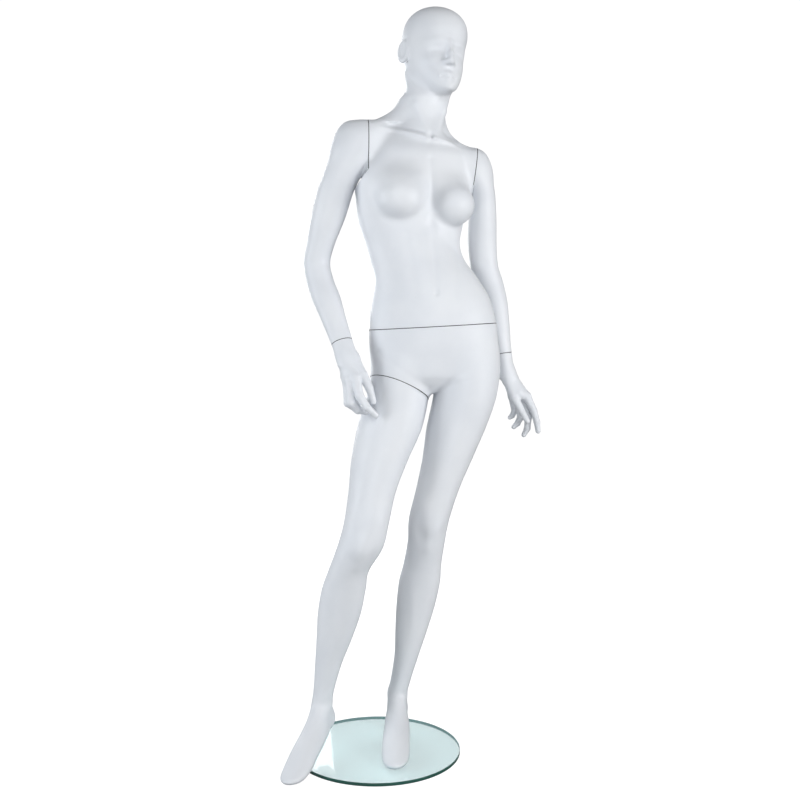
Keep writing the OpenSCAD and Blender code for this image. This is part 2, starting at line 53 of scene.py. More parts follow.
# ---------------------------------------------------------------- the figure's measures, in mm
# Level sections: [height, middle x, middle y, half width, depth in front, depth behind, turn]
TRUNK = [
    [868, 132, -10, 28, 40, 44, 2], [884, 136, -4, 92, 66, 88, 2], [912, 140, 0, 136, 84, 112, 3],
    [950, 140, 0, 153, 92, 120, 3], [995, 136, -2, 154, 95, 112, 3], [1045, 134, -4, 151, 94, 96, 4],
    [1090, 131, -3, 141, 90, 80, 6], [1140, 119, 0, 125, 83, 73, 8], [1185, 98, 6, 115, 79, 73, 11],
    [1225, 87, 13, 116, 79, 76, 14], [1270, 83, 22, 129, 82, 84, 17], [1325, 86, 29, 141, 86, 92, 19],
    [1380, 90, 33, 146, 84, 97, 19], [1420, 100, 37, 130, 76, 96, 19], [1450, 103, 40, 124, 68, 86, 19],
    [1480, 94, 46, 114, 54, 66, 19], [1505, 82, 49, 100, 40, 50, 18], [1530, 84, 52, 82, 34, 42, 15],
    [1556, 100, 55, 60, 38, 44, 10], [1575, 110, 56, 50, 44, 46, 10]]
NECK = [
    [1480, 106, 40, 62, 52, 52, 10], [1530, 105, 50, 55, 48, 50, 14], [1570, 108, 55, 51, 49, 49, 18],
    [1610, 119, 58, 49, 50, 50, 22], [1660, 127, 60, 50, 52, 52, 26]]
HEAD = [
    [-104, 5, -58, 10, 14, 16, 0], [-99, 5, -52, 23, 31, 28, 0], [-86, 5, -34, 41, 52, 36, 0],
    [-67, 4, -16, 56, 72, 46, 0], [-46, 3, -2, 64, 83, 64, 0], [-20, 1, 4, 70, 88, 85, 0],
    [15, 1, 6, 75, 93, 93, 0], [48, 3, 7, 78, 95, 94, 0], [78, 3, 8, 72, 87, 87, 0],
    [99, 2, 10, 58, 70, 72, 0], [113, 1, 12, 37, 45, 47, 0], [119, 1, 12, 11, 15, 15, 0]]
HEAD_MIDDLE = (138, 56, 1688)
HEAD_TURN = (-2, 5, 26)
RIGHT_ARM = [
    [932, -61, -71, 26, 13, 13, 0], [968, -75, -60, 26, 20, 19, 0], [1008, -90, -43, 28, 23, 23, 0],
    [1050, -106, -25, 31, 29, 28, 0],
    [1095, -123, -3, 35, 34, 32, 0], [1140, -139, 17, 33, 36, 35, 0], [1180, -146, 23, 32, 34, 37, 0],
    [1225, -136, 17, 34, 35, 37, 0], [1285, -118, 7, 41, 39, 40, 0], [1345, -101, 1, 44, 43, 45, 0],
    [1385, -84, -1, 46, 47, 49, 0], [1415, -69, 0, 51, 51, 53, 4], [1450, -54, 0, 58, 54, 56, 5],
    [1484, -41, 1, 60, 49, 52, 5], [1505, -33, 3, 55, 38, 42, 5], [1516, -29, 5, 45, 24, 28, 5],
    [1520, -27, 6, 28, 12, 14, 5]]
LEFT_ARM = [
    [900, 324, 84, 19, 24, 24, 0], [940, 317, 86, 20, 25, 25, 0], [985, 309, 89, 23, 27, 27, 0],
    [1035, 300, 93, 29, 30, 30, 0], [1090, 290, 97, 34, 33, 33, 0], [1140, 277, 99, 36, 34, 36, 0],
    [1180, 266, 98, 35, 34, 36, 0], [1230, 261, 94, 36, 36, 37, 0], [1290, 261, 88, 35, 40, 41, 0],
    [1345, 261, 84, 32, 43, 45, 0], [1375, 253, 82, 36, 49, 51, 0], [1405, 238, 81, 49, 52, 54, 0],
    [1430, 227, 80, 54, 50, 52, 0], [1452, 220, 79, 50, 41, 43, 0], [1465, 216, 79, 38, 24, 26, 0],
    [1469, 214, 79, 24, 12, 13, 0]]
RIGHT_LEG = [
    [100, -134, -20, 24, 29, 33, -14], [125, -131, -22, 24, 29, 33, -12],
    [159, -126, -24, 25, 29, 32, -8], [220, -115, -30, 32, 31, 37, -6],
    [281, -101, -38, 42, 35, 48, -5], [345, -88, -48, 51, 39, 60, -4], [404, -77, -59, 52, 42, 62, -4],
    [450, -65, -70, 48, 45, 53, -4], [507, -38, -84, 54, 52, 49, -4], [563, -23, -80, 53, 55, 53, -4],
    [634, -10, -65, 56, 60, 60, 0], [706, 7, -48, 67, 67, 68, 0], [780, 30, -31, 77, 74, 78, 0],
    [855, 49, -14, 75, 81, 92, 0], [920, 59, -5, 71, 84, 108, 0], [965, 66, 0, 60, 74, 98, 0],
    [990, 76, 2, 38, 48, 66, 0]]
LEFT_LEG = [
    [100, 46, 54, 25, 30, 34, 0], [125, 50, 52, 25, 30, 34, 0], [159, 58, 49, 25, 29, 33, 0],
    [220, 72, 42, 30, 31, 38, 3],
    [281, 83, 36, 39, 35, 49, 4], [345, 94, 28, 47, 39, 60, 4], [404, 103, 18, 50, 41, 61, 4],
    [450, 110, 10, 46, 44, 53, 4], [507, 119, 0, 45, 50, 49, 3], [563, 126, -5, 49, 54, 54, 3],
    [634, 146, -6, 52, 59, 61, 0], [706, 169, -6, 60, 67, 69, 0], [780, 190, -5, 71, 74, 79, 0],
    [855, 211, -3, 76, 82, 94, 0], [920, 219, 0, 75, 85, 110, 0], [965, 212, 1, 63, 74, 98, 0],
    [990, 204, 2, 40, 48, 66, 0]]
FOOT = [
    [8.3, 0, -143, 24, 34, 36, 0], [12, 0, -142, 28, 46, 46, 0], [20, 1, -134, 32, 56, 58, 0],
    [34, 1, -111, 33, 56, 64, 0], [48, 1, -83, 32, 60, 67, 0], [62, 1, -54, 30, 62, 68, 0],
    [76, 0, -34, 27, 54, 68, 0], [92, 0, -20, 24, 44, 54, 0], [110, 0, -8, 23, 36, 43, 0],
    [128, 0, 0, 24, 31, 36, 0], [150, 0, 0, 23, 28, 31, 0]]
# Digits, thumb first: [x, y, z, radius] at each joint
RIGHT_DIGITS = [
    [[-56, -68, 948, 15], [-32, -84, 910, 12], [-16, -92, 880, 9.5], [-6, -96, 848, 7]],
    [[-47, -92, 902, 12], [-38, -108, 863, 10], [-20, -112, 836, 8.5], [0, -106, 817, 7]],
    [[-60, -86, 896, 12], [-57, -100, 846, 11], [-42, -90, 829, 10], [-22, -80, 824, 7.5]],
    [[-68, -76, 897, 11], [-66, -86, 844, 9], [-49, -72, 831, 8], [-32, -62, 826, 6.5]],
    [[-73, -64, 906, 10], [-67, -70, 864, 8], [-55, -58, 849, 7], [-42, -50, 840, 6]]]
LEFT_DIGITS = [
    [[324, 72, 893, 14], [339, 58, 848, 11], [356, 52, 815, 8.5], [369, 50, 792, 6.5]],
    [[370, 74, 852, 11], [387, 74, 818, 9], [396, 76, 789, 8], [399, 78, 766, 6.5]],
    [[361, 88, 846, 11], [376, 88, 800, 9], [374, 92, 772, 8], [366, 95, 755, 6.5]],
    [[350, 100, 845, 11], [359, 104, 799, 8.5], [351, 106, 783, 7.5], [342, 107, 774, 6]],
    [[338, 110, 852, 10], [345, 116, 814, 8], [339, 116, 802, 7], [333, 116, 797, 5.5]]]
LEFT_WEB = ([346, 62, 862, 12], [356, 66, 857, 12])
RIGHT_HEEL = (-73, -62, 955)
LEFT_HEEL = (323, 84, 908)


def unit(v):
    v = np.array(v, float)
    return v / np.linalg.norm(v)


def armpit_slope(shoulder):
    """The direction out of the sloping cut that leaves the flank under an armpit with the torso."""
    return unit([shoulder[1][0] * 1.4, shoulder[1][1] * 1.4, 1])


# Parting planes: a point, and the direction out of the piece that holds the socket
WAIST = (np.array([133., 0, 1024]), unit([-0.055, -0.03, 1]))
THIGH = (np.array([56., -10, 871]), unit([-0.407, -0.31, -1]))
RIGHT_SHOULDER = (np.array([-22., 0, 1455]), unit([-1, -0.09, 0]))
LEFT_SHOULDER = (np.array([240., 80, 1418]), unit([1, 0.03, -0.13]))
RIGHT_WRIST = (np.array([-81., -53, 985]), unit([0.336, -0.403, -0.85]))
LEFT_WRIST = (np.array([314.5, 88, 959]), unit([0.15, -0.05, -1]))
RIGHT_ARMPIT = np.array([-22., 0, 1398])
LEFT_ARMPIT = np.array([234., 80, 1372])
GAP = 0.3               # from a parting plane to each piece
PLATE_T = 3.0           # thickness of a fitting's plate
SEAM_WIDTH, SEAM_DEPTH = 0.6, 0.35
SEAM_REACH = 8          # how near a cut its edge is looked for
DARK_FACE_REACH = 9          # how far past the shoulder plane an armpit's cut keeps the dark moulding colour, which is partly painted shade
RECESS_DEPTH = 14
LARGE, MEDIUM, SMALL = 9, 7, 4      # radii of the fittings' studs
CUTTER_REACH = 420      # larger than any piece's section
ROD_FOOT = np.array([50., 120, 8])
ROD_LEAN = unit([34, -62, 387])


# ---------------------------------------------------------------- distance fields
def soft_min(a, b, k):
    """The lower of two distances, with the crease between them filled over k."""
    h = np.maximum(k - np.abs(a - b), 0) / k
    return np.minimum(a, b) - h * h * k * 0.25


def ramp(v, low, high):
    t = np.clip((v - low) / (high - low), 0, 1)
    return t * t * (3 - 2 * t)


class Loft:
    """The distance to a smooth solid through level sections."""

    def __init__(self, rows):
        r = np.array(rows, float)
        n = len(r) - 1
        u = np.linspace(0, n, 20 * n + 1)
        i = np.minimum(u.astype(int), n - 1)
        t = (u - i)[:, None]
        a, b, c, d = r[np.maximum(i - 1, 0)], r[i], r[i + 1], r[np.minimum(i + 2, n)]
        s = 0.5 * (2 * b + (c - a) * t + (2 * a - 5 * b + 4 * c - d) * t * t
                   + (3 * b - a - 3 * c + d) * t ** 3)
        s[:, 0] = np.maximum.accumulate(s[:, 0])
        self.s = s
        reach = s[:, 3:6].max(1)
        self.low = np.array([(s[:, 1] - reach).min(), (s[:, 2] - reach).min(), s[0, 0]])
        self.high = np.array([(s[:, 1] + reach).max(), (s[:, 2] + reach).max(), s[-1, 0]])

    def level(self, x, y, z):
        s = self.s
        mx, my, w, front, back, turn = (np.interp(z, s[:, 0], s[:, k]) for k in range(1, 7))
        turn = np.radians(turn)
        c, n = np.cos(turn), np.sin(turn)
        dx, dy = x - mx, y - my
        qx, qy = c * dx + n * dy, c * dy - n * dx
        w = np.maximum(w, 0.5)
        depth = np.maximum(np.where(qy < 0, front, back), 0.5)
        k0 = np.sqrt((qx / w) ** 2 + (qy / depth) ** 2)
        k1 = np.sqrt((qx / w ** 2) ** 2 + (qy / depth ** 2) ** 2)
        return k0 * (k0 - 1) / np.maximum(k1, 1e-6)

    def __call__(self, p):
        away = np.sqrt((np.maximum(np.maximum(self.low - p, p - self.high), 0) ** 2).sum(1))
        out = away + 25.0
        near = away < 45
        if not near.any():
            return out
        x, y, z = p[near].T
        bottom, top = self.s[0, 0], self.s[-1, 0]
        zc = np.clip(z, bottom, top)
        d = self.level(x, y, zc)
        zn = np.where(zc + 2 > top, zc - 2, zc + 2)
        slope = (self.level(x, y, zn) - d) / 2
        d = d / np.sqrt(1 + slope ** 2)
        over = np.abs(z - zc)
        out[near] = np.where(over > 0, np.sqrt(np.maximum(d, 0) ** 2 + over ** 2), d)
        return out


def ellipsoid(p, at, radii, turn=0):
    a = math.radians(turn)
    c, n = math.cos(a), math.sin(a)
    dx, dy, dz = (p - np.array(at, float)).T
    q = np.stack([c * dx + n * dy, c * dy - n * dx, dz], 1) / np.array(radii, float)
    k0 = np.sqrt((q ** 2).sum(1))
    k1 = np.sqrt(((q / np.array(radii, float)) ** 2).sum(1))
    return k0 * (k0 - 1) / np.maximum(k1, 1e-6)


def limb(p, a, b):
    """A round cone between two joints, each [x, y, z, radius]."""
    a, b = np.array(a, float), np.array(b, float)
    along = b[:3] - a[:3]
    t = np.clip(((p - a[:3]) @ along) / (along @ along), 0, 1)
    return np.linalg.norm(p - a[:3] - t[:, None] * along, axis=1) - (a[3] + t * (b[3] - a[3]))


def chain(p, joints, k):
    d = limb(p, joints[0], joints[1])
    for a, b in zip(joints[1:], joints[2:]):
        d = soft_min(d, limb(p, a, b), k)
    return d


def relief(p, marks):
    """Soft swellings (+) and hollows (-): [x, y, z, three radii, turn, height]."""
    out = np.zeros(len(p))
    for x, y, z, rx, ry, rz, turn, height in marks:
        m = (np.abs(p[:, 2] - z) < 2.6 * rz) & (np.abs(p[:, 0] - x) < 2.6 * max(rx, ry)) \
            & (np.abs(p[:, 1] - y) < 2.6 * max(rx, ry))
        if m.any():
            a = math.radians(turn)
            c, n = math.cos(a), math.sin(a)
            dx, dy, dz = (p[m] - (x, y, z)).T
            out[m] += height * np.exp(-((c * dx + n * dy) / rx) ** 2 - ((c * dy - n * dx) / ry) ** 2 - (dz / rz) ** 2)
    return out


def line(p, points, width, height):
    """A ridge (+) or groove (-) along a line drawn in the front view, [[x, z], ...]."""
    pts = np.array(points, float)
    q = p[:, (0, 2)]
    near = np.all((q > pts.min(0) - 3 * width) & (q < pts.max(0) + 3 * width), axis=1)
    out = np.zeros(len(p))
    if not near.any():
        return out
    q = q[near]
    best = np.full(len(q), 1e9)
    for a, b in zip(pts, pts[1:]):
        t = np.clip(((q - a) @ (b - a)) / ((b - a) @ (b - a)), 0, 1)
        best = np.minimum(best, ((q - a - t[:, None] * (b - a)) ** 2).sum(1))
    out[near] = height * np.exp(-best / width ** 2)
    return out


# ---------------------------------------------------------------- the body's shapes
trunk_loft, neck_loft, head_loft = Loft(TRUNK), Loft(NECK), Loft(HEAD)
right_arm_loft, left_arm_loft = Loft(RIGHT_ARM), Loft(LEFT_ARM)
right_leg_loft, left_leg_loft, foot_loft = Loft(RIGHT_LEG), Loft(LEFT_LEG), Loft(FOOT)

TRUNK_MARKS = [
    # hollows over the collar bones and at the throat
    [175, 36, 1492, 26, 18, 13, 30, -6], [60, 6, 1516, 26, 18, 14, 20, -3], [129, -8, 1482, 8, 16, 9, 0, -4.5],
    # hip bones
    [38, -72, 1052, 26, 26, 26, 0, 2.5], [238, -66, 1056, 26, 26, 26, 0, 2.5],
    # mound and lower belly
    [131, -82, 905, 34, 30, 26, 0, 4], [134, -95, 985, 60, 40, 46, 4, 3],
    # shoulder blades
    [22, 104, 1398, 34, 30, 56, 15, 7], [152, 134, 1384, 34, 30, 56, 22, 7],
    # small of the back
    [100, 82, 1168, 50, 30, 50, 8, -3], [108, 100, 1062, 10, 16, 12, 0, -2], [162, 100, 1062, 10, 16, 12, 0, -2],
    # dimples and the triangle over the cleft
    [138, 106, 1018, 20, 14, 22, 0, -2], [98, 100, 1040, 14, 12, 14, 0, -2.5], [178, 100, 1040, 14, 12, 14, 0, -2.5],
    # flanks over the hip crest
    [-8, 0, 1090, 20, 50, 24, 0, 1.5], [262, 0, 1100, 20, 50, 24, 0, 1.5]]
FRONT_LINES = [
    # collar bones
    ([[-6, 1500], [43, 1495], [80, 1486], [113, 1477], [121, 1472]], 6.0, 4.2),
    ([[137, 1475], [165, 1470], [189, 1465], [216, 1460]], 6.0, 4.2),
    ([[14, 1511], [45, 1507], [82, 1498], [112, 1489]], 6, -2.4),
    # breast bone, the middle of the belly and the edges of its muscle
    ([[128, 1420], [130, 1360], [132, 1305]], 9, -3.0),
    ([[130, 1280], [133, 1235], [137, 1170], [139, 1125]], 9, -2.0),
    ([[70, 1240], [82, 1170], [92, 1090]], 13, -1.4), ([[176, 1235], [184, 1170], [184, 1090]], 13, -1.8),
    ([[140, 1106], [140, 1098]], 6, -3.2),
    # arch of the ribs
    ([[118, 1262], [72, 1226], [34, 1200]], 13, -1.6), ([[128, 1262], [162, 1226], [186, 1204]], 13, -1.8),
    # groins
    ([[4, 962], [62, 915], [120, 880]], 8, -2.6), ([[262, 962], [206, 915], [146, 878]], 8, -2.6)]
BACK_LINES = [
    ([[100, 1500], [92, 1430], [82, 1340], [86, 1240], [112, 1140], [130, 1085]], 16, -4.5)]
CLEFT = [[138, 1000], [139, 920], [138, 850]]


def trunk(p):
    """The trunk and neck, without limbs or head."""
    d = trunk_loft(p)
    rear = soft_min(ellipsoid(p, (78, 62, 925), (70, 66, 72)), ellipsoid(p, (204, 62, 930), (70, 66, 72)), 8)
    d = soft_min(d, rear, 26)
    d = soft_min(d, neck_loft(p), 30)
    z = p[:, 2]
    k = 13 + 34 * ramp(z, 1312, 1385)
    bust = np.minimum(ellipsoid(p, (56, -51, 1326), (58, 51, 53), 14), ellipsoid(p, (180, -11, 1315), (55, 51, 51), 28))
    d = soft_min(d, bust, k)
    for joints in (
            [[76, 44, 1640, 8], [98, 12, 1560, 9], [119, 4, 1486, 6]],
            [[180, 72, 1626, 8], [158, 36, 1550, 9], [138, 10, 1486, 6]]):
        d = soft_min(d, chain(p, joints, 8), 16)
    middle = np.interp(z, [868, 1140, 1325, 1480, 1560], [0, 0, 30, 44, 55])
    front = ramp(middle - p[:, 1], 8, 34)
    back = ramp(p[:, 1] - middle, 8, 34)
    lift = relief(p, TRUNK_MARKS)
    for points, width, height in FRONT_LINES:
        lift += line(p, points, width, height) * front
    for points, width, height in BACK_LINES:
        lift += line(p, points, width, height) * back
    lift -= line(p, CLEFT, 9, 1) * back * np.interp(z, [880, 930, 965, 995], [15, 10, 4, 0])
    return d - lift


FACE_MARKS = [
    [0, -84, -68, 26, 20, 20, 0, 2.0], [0, -80, -92, 16, 16, 11, 0, 2.4], [0, -86, -84, 15, 14, 6, 0, -1.2],
    [0, -92, -2, 9, 14, 12, 0, -0.8], [0, -92, -55, 3, 8, 7, 0, -0.9]]
for side in (-1, 1):
    FACE_MARKS += [
        [32 * side, -84, -11, 18, 24, 11, 0, -8.5], [33 * side, -80, 11, 24, 24, 10, 0, 2.2],
        [31 * side, -80, -15, 12, 14, 7.5, 0, 2.2], [42 * side, -64, -38, 20, 24, 15, 0, 2.4],
        [46 * side, -50, -68, 18, 24, 20, 0, -2.0], [62 * side, -46, 30, 16, 24, 24, 0, -2.0],
        [15 * side, -88, -22, 6, 12, 16, 0, -1.6], [5 * side, -98, -46, 3, 6, 2.6, 0, -0.3]]


def head(p):
    a, b, c = (math.radians(v) for v in HEAD_TURN)
    turn = np.array(Matrix.Rotation(c, 3, 'Z') @ Matrix.Rotation(b, 3, 'Y') @ Matrix.Rotation(a, 3, 'X'))
    away = np.linalg.norm(p - HEAD_MIDDLE, axis=1)
    out = np.maximum(away - 135, 30.0)
    near = away < 190
    if not near.any():
        return out
    q = (p[near] - HEAD_MIDDLE) @ turn
    d = head_loft(q)
    nose = chain(q, [[-1, -82, 6, 7.5], [-1, -90.5, -20, 8.2], [-2, -97.5, -39, 8.0]], 4)
    for side in (-1, 1):
        nose = soft_min(nose, ellipsoid(q, (-1.5 + 9.5 * side, -87.5, -41), (6, 9, 6)), 8)
    d = soft_min(d, nose, 10)
    for side in (-1, 1):
        d = soft_min(d, limb(q, [18 * side, -76, -74.5, 2.6], [4 * side, -85.5, -71, 5.4]), 8)
        d = soft_min(d, limb(q, [16 * side, -76, -76.5, 2.8], [0, -83.5, -80.5, 6.8]), 8)
    d = d - relief(q, FACE_MARKS)
    d = d - line(q, [[-18, -74.6], [-9, -74.8], [0, -75.8], [9, -74.8], [18, -74.6]], 2.8, -2.2) * (q[:, 1] < -50)
    for side in (-1, 1):
        d = soft_min(d, ear(q, side), 7)
    out[near] = d
    return out


def ear(q, side):
    """A flat, simple ear: an oval plate with a rolled rim and a shallow bowl."""
    r = q - np.array([78 * side, 10, -2])
    lean = np.array(Matrix.Rotation(math.radians(-26 * side), 3, 'Z') @ Matrix.Rotation(math.radians(-2), 3, 'X'))
    r = r @ lean
    plate = ellipsoid(r, (0, 0, 0), (6.5, 17, 28))
    oval = np.sqrt((r[:, 1] / 10) ** 2 + ((r[:, 2] - 3) / 19) ** 2)
    bowl = 5.0 * np.exp(-oval ** 6) * ramp(r[:, 0] * side, -2, 3)
    return plate + bowl


ARM_MARKS = {
    "right": [[-150, 56, 1172, 16, 18, 22, 0, 4], [-140, -12, 1180, 18, 14, 14, 0, -2],
              [-74, -46, 1398, 26, 22, 40, 0, -1.5],
              [-118, -24, 1290, 22, 20, 46, 0, 2.5], [-118, 34, 1310, 22, 20, 50, 0, 2],
              [-96, -22, 1006, 8, 10, 10, 0, 1.6],
              [-128, -26, 1108, 20, 20, 34, 0, 2]],
    "left": [[266, 130, 1172, 16, 18, 22, 0, 4], [262, 64, 1180, 18, 14, 14, 0, -2],
             [258, 46, 1366, 22, 20, 36, 0, -1.2],
             [262, 54, 1292, 22, 20, 46, 0, 2.5], [262, 122, 1310, 22, 20, 50, 0, 2],
             [326, 104, 984, 8, 10, 10, 0, 1.6],
             [296, 70, 1100, 20, 20, 34, 0, 2]]}


def arm(p, side):
    loft = right_arm_loft if side == "right" else left_arm_loft
    return loft(p) - relief(p, ARM_MARKS[side])


LEG_MARKS = {
    "right": [[-34, -130, 514, 21, 20, 25, 0, 5.5], [-60, -118, 496, 14, 18, 24, 0, -2.6],
              [-10, -118, 502, 14, 18, 24, 0, -2.6],
              [-44, -116, 470, 12, 14, 14, 0, 2.2], [0, -116, 572, 20, 20, 28, 0, 3],
              [-50, -116, 586, 18, 20, 30, 0, 2],
              [-36, -36, 498, 26, 18, 30, 0, -4], [-108, 8, 350, 20, 26, 46, 0, 3.5],
              [-66, 2, 362, 20, 26, 46, 0, 3.5],
              [-88, 16, 330, 6, 22, 50, 0, -2], [-118, 6, 190, 6, 12, 40, 0, 2], [-138, 0, 190, 8, 12, 40, 0, -2],
              [-100, 0, 190, 8, 12, 40, 0, -2], [-94, -84, 330, 10, 16, 90, 0, 1.2]],
    "left": [[134, -50, 548, 21, 20, 26, 0, 5.5], [106, -46, 532, 14, 18, 26, 0, -3.4],
             [158, -42, 532, 14, 18, 24, 0, -2.4],
             [124, -44, 496, 12, 14, 16, 0, 2.2], [112, -52, 600, 18, 20, 28, 0, 3],
             [166, -48, 604, 18, 20, 30, 0, 2],
             [122, 50, 500, 26, 18, 30, 0, -4], [76, 82, 350, 20, 26, 46, 0, 3.5], [118, 80, 362, 20, 26, 46, 0, 3.5],
             [97, 92, 330, 6, 22, 50, 0, -2], [66, 82, 190, 6, 12, 40, 0, 2], [48, 72, 190, 8, 12, 40, 0, -2],
             [86, 72, 190, 8, 12, 40, 0, -2], [86, -10, 330, 10, 16, 90, 0, 1.2]]}
FOOT_MARKS = [[-24, 4, 110, 10, 14, 17, 0, 1.8], [24, 0, 114, 10, 14, 17, 0, 2.2], [0, 30, 118, 7, 12, 26, 0, 2],
              [-16, 24, 122, 8, 10, 24, 0, -1.6], [16, 24, 122, 8, 10, 24, 0, -1.6],
              [0, -176, 30, 20, 22, 10, 0, 1.5],
              [0, -66, 82, 14, 40, 16, 0, 1.4], [30, -90, 30, 10, 26, 14, 0, -1.5]]


def foot(p, at, turn, dip):
    """A smooth foot. Past the glass its toe end dips towards the floor."""
    away = np.linalg.norm(p - (at[0], at[1] - 60, 60), axis=1)
    out = np.maximum(away - 180, 30.0)
    near = away < 230
    if near.any():
        q = (p[near] - (at[0], at[1], 0)) @ np.array(Matrix.Rotation(math.radians(turn), 3, 'Z'))
        q[:, 2] += dip * ramp(np.linalg.norm(p[near, :2], axis=1), 202, 262)
        q[:, 1] *= np.where(q[:, 1] < 0, 190 / (190 + dip), 1)
        d = soft_min(foot_loft(q), ellipsoid(q, (0, 16, 82), (24, 27, 30)), 14)
        out[near] = np.maximum(d - relief(q, FOOT_MARKS), 8.3 - q[:, 2])
    return out


def leg(p, side):
    loft, at, turn, dip = ((right_leg_loft, (-131, -22), -19.5, 5.5) if side == "right"
                           else (left_leg_loft, (49, 52), -2, 0))
    above = ramp(p[:, 2], 112, 146)
    return above * (loft(p) - relief(p, LEG_MARKS[side])) + (1 - above) * foot(p, at, turn, dip)


def past(p, plane, slope=1.6):
    """Grows past a parting plane, so a neighbour's shape fades there."""
    return slope * np.maximum((p - plane[0]) @ plane[1], 0)


def torso_field(p):
    d = trunk(p)
    d = soft_min(d, arm(p, "right") + past(p, RIGHT_SHOULDER), 24)
    d = soft_min(d, arm(p, "left") + past(p, LEFT_SHOULDER), 20)
    return soft_min(d, head(p), 13)


def arm_field(side, shoulder, armpit, k):
    under = (armpit, -armpit_slope(shoulder))

    def field(p):
        return soft_min(arm(p, side), trunk(p) + past(p, shoulder) + past(p, under), k)
    return field


def hips_field(p):
    body = trunk(p)
    right = soft_min(body, leg(p, "right") + past(p, THIGH), 26)
    left = soft_min(body + 26 * ramp(-p[:, 2], -905, -868), leg(p, "left"), 26)
    return soft_min(right, left, 5)


def right_leg_field(p):
    return soft_min(leg(p, "right"), trunk(p) + past(p, THIGH), 26)


def hand_field(side, digits, heel, thickness, web):
    """The hand and the end of its arm: a palm from the heel to each knuckle, then the fingers."""
    def field(p):
        d = arm(p, side)
        palm = None
        for joints in digits[1:]:
            bone = limb(p, [*heel, thickness], joints[0])
            palm = bone if palm is None else soft_min(palm, bone, 9)
        palm = soft_min(palm, limb(p, [*heel, thickness], digits[0][0]), 8)
        for joint in web:
            palm = soft_min(palm, limb(p, [*heel, thickness], joint), 9)
        d = soft_min(d, palm, 14)
        fingers = None
        for joints in digits:
            one = chain(p, joints, 2.5)
            fingers = one if fingers is None else soft_min(fingers, one, 1.6)
        return soft_min(d, fingers, 6)
    return field


# ---------------------------------------------------------------- meshing
BLOCK = 8               # grid cells along a block's side
KEY_BASE = 4096         # more than the cells along any side of a grid
BATCH = 200000
CORNERS = np.array([[i, j, k] for i in (0, 1) for j in (0, 1) for k in (0, 1)])


def gradient(field, p, h=0.25):
    offsets = np.array([[1, -1, -1], [-1, -1, 1], [-1, 1, -1], [1, 1, 1]]) * h
    g = np.zeros_like(p)
    for o in offsets:
        g += o[None] * field(p + o)[:, None]
    return g / (4 * h * h)


def settle(field, p, step, times=2):
    """Moves points on to the field's zero surface."""
    for _ in range(times):
        for n in range(0, len(p), BATCH):
            q = p[n:n + BATCH]
            g = gradient(field, q)
            f = field(q)
            g2 = np.maximum((g ** 2).sum(1), 0.05)
            move = -(f / g2)[:, None] * g
            size = np.linalg.norm(move, axis=1, keepdims=True)
            p[n:n + BATCH] = q + move * np.minimum(1, 0.7 * step / np.maximum(size, 1e-9))
    return p


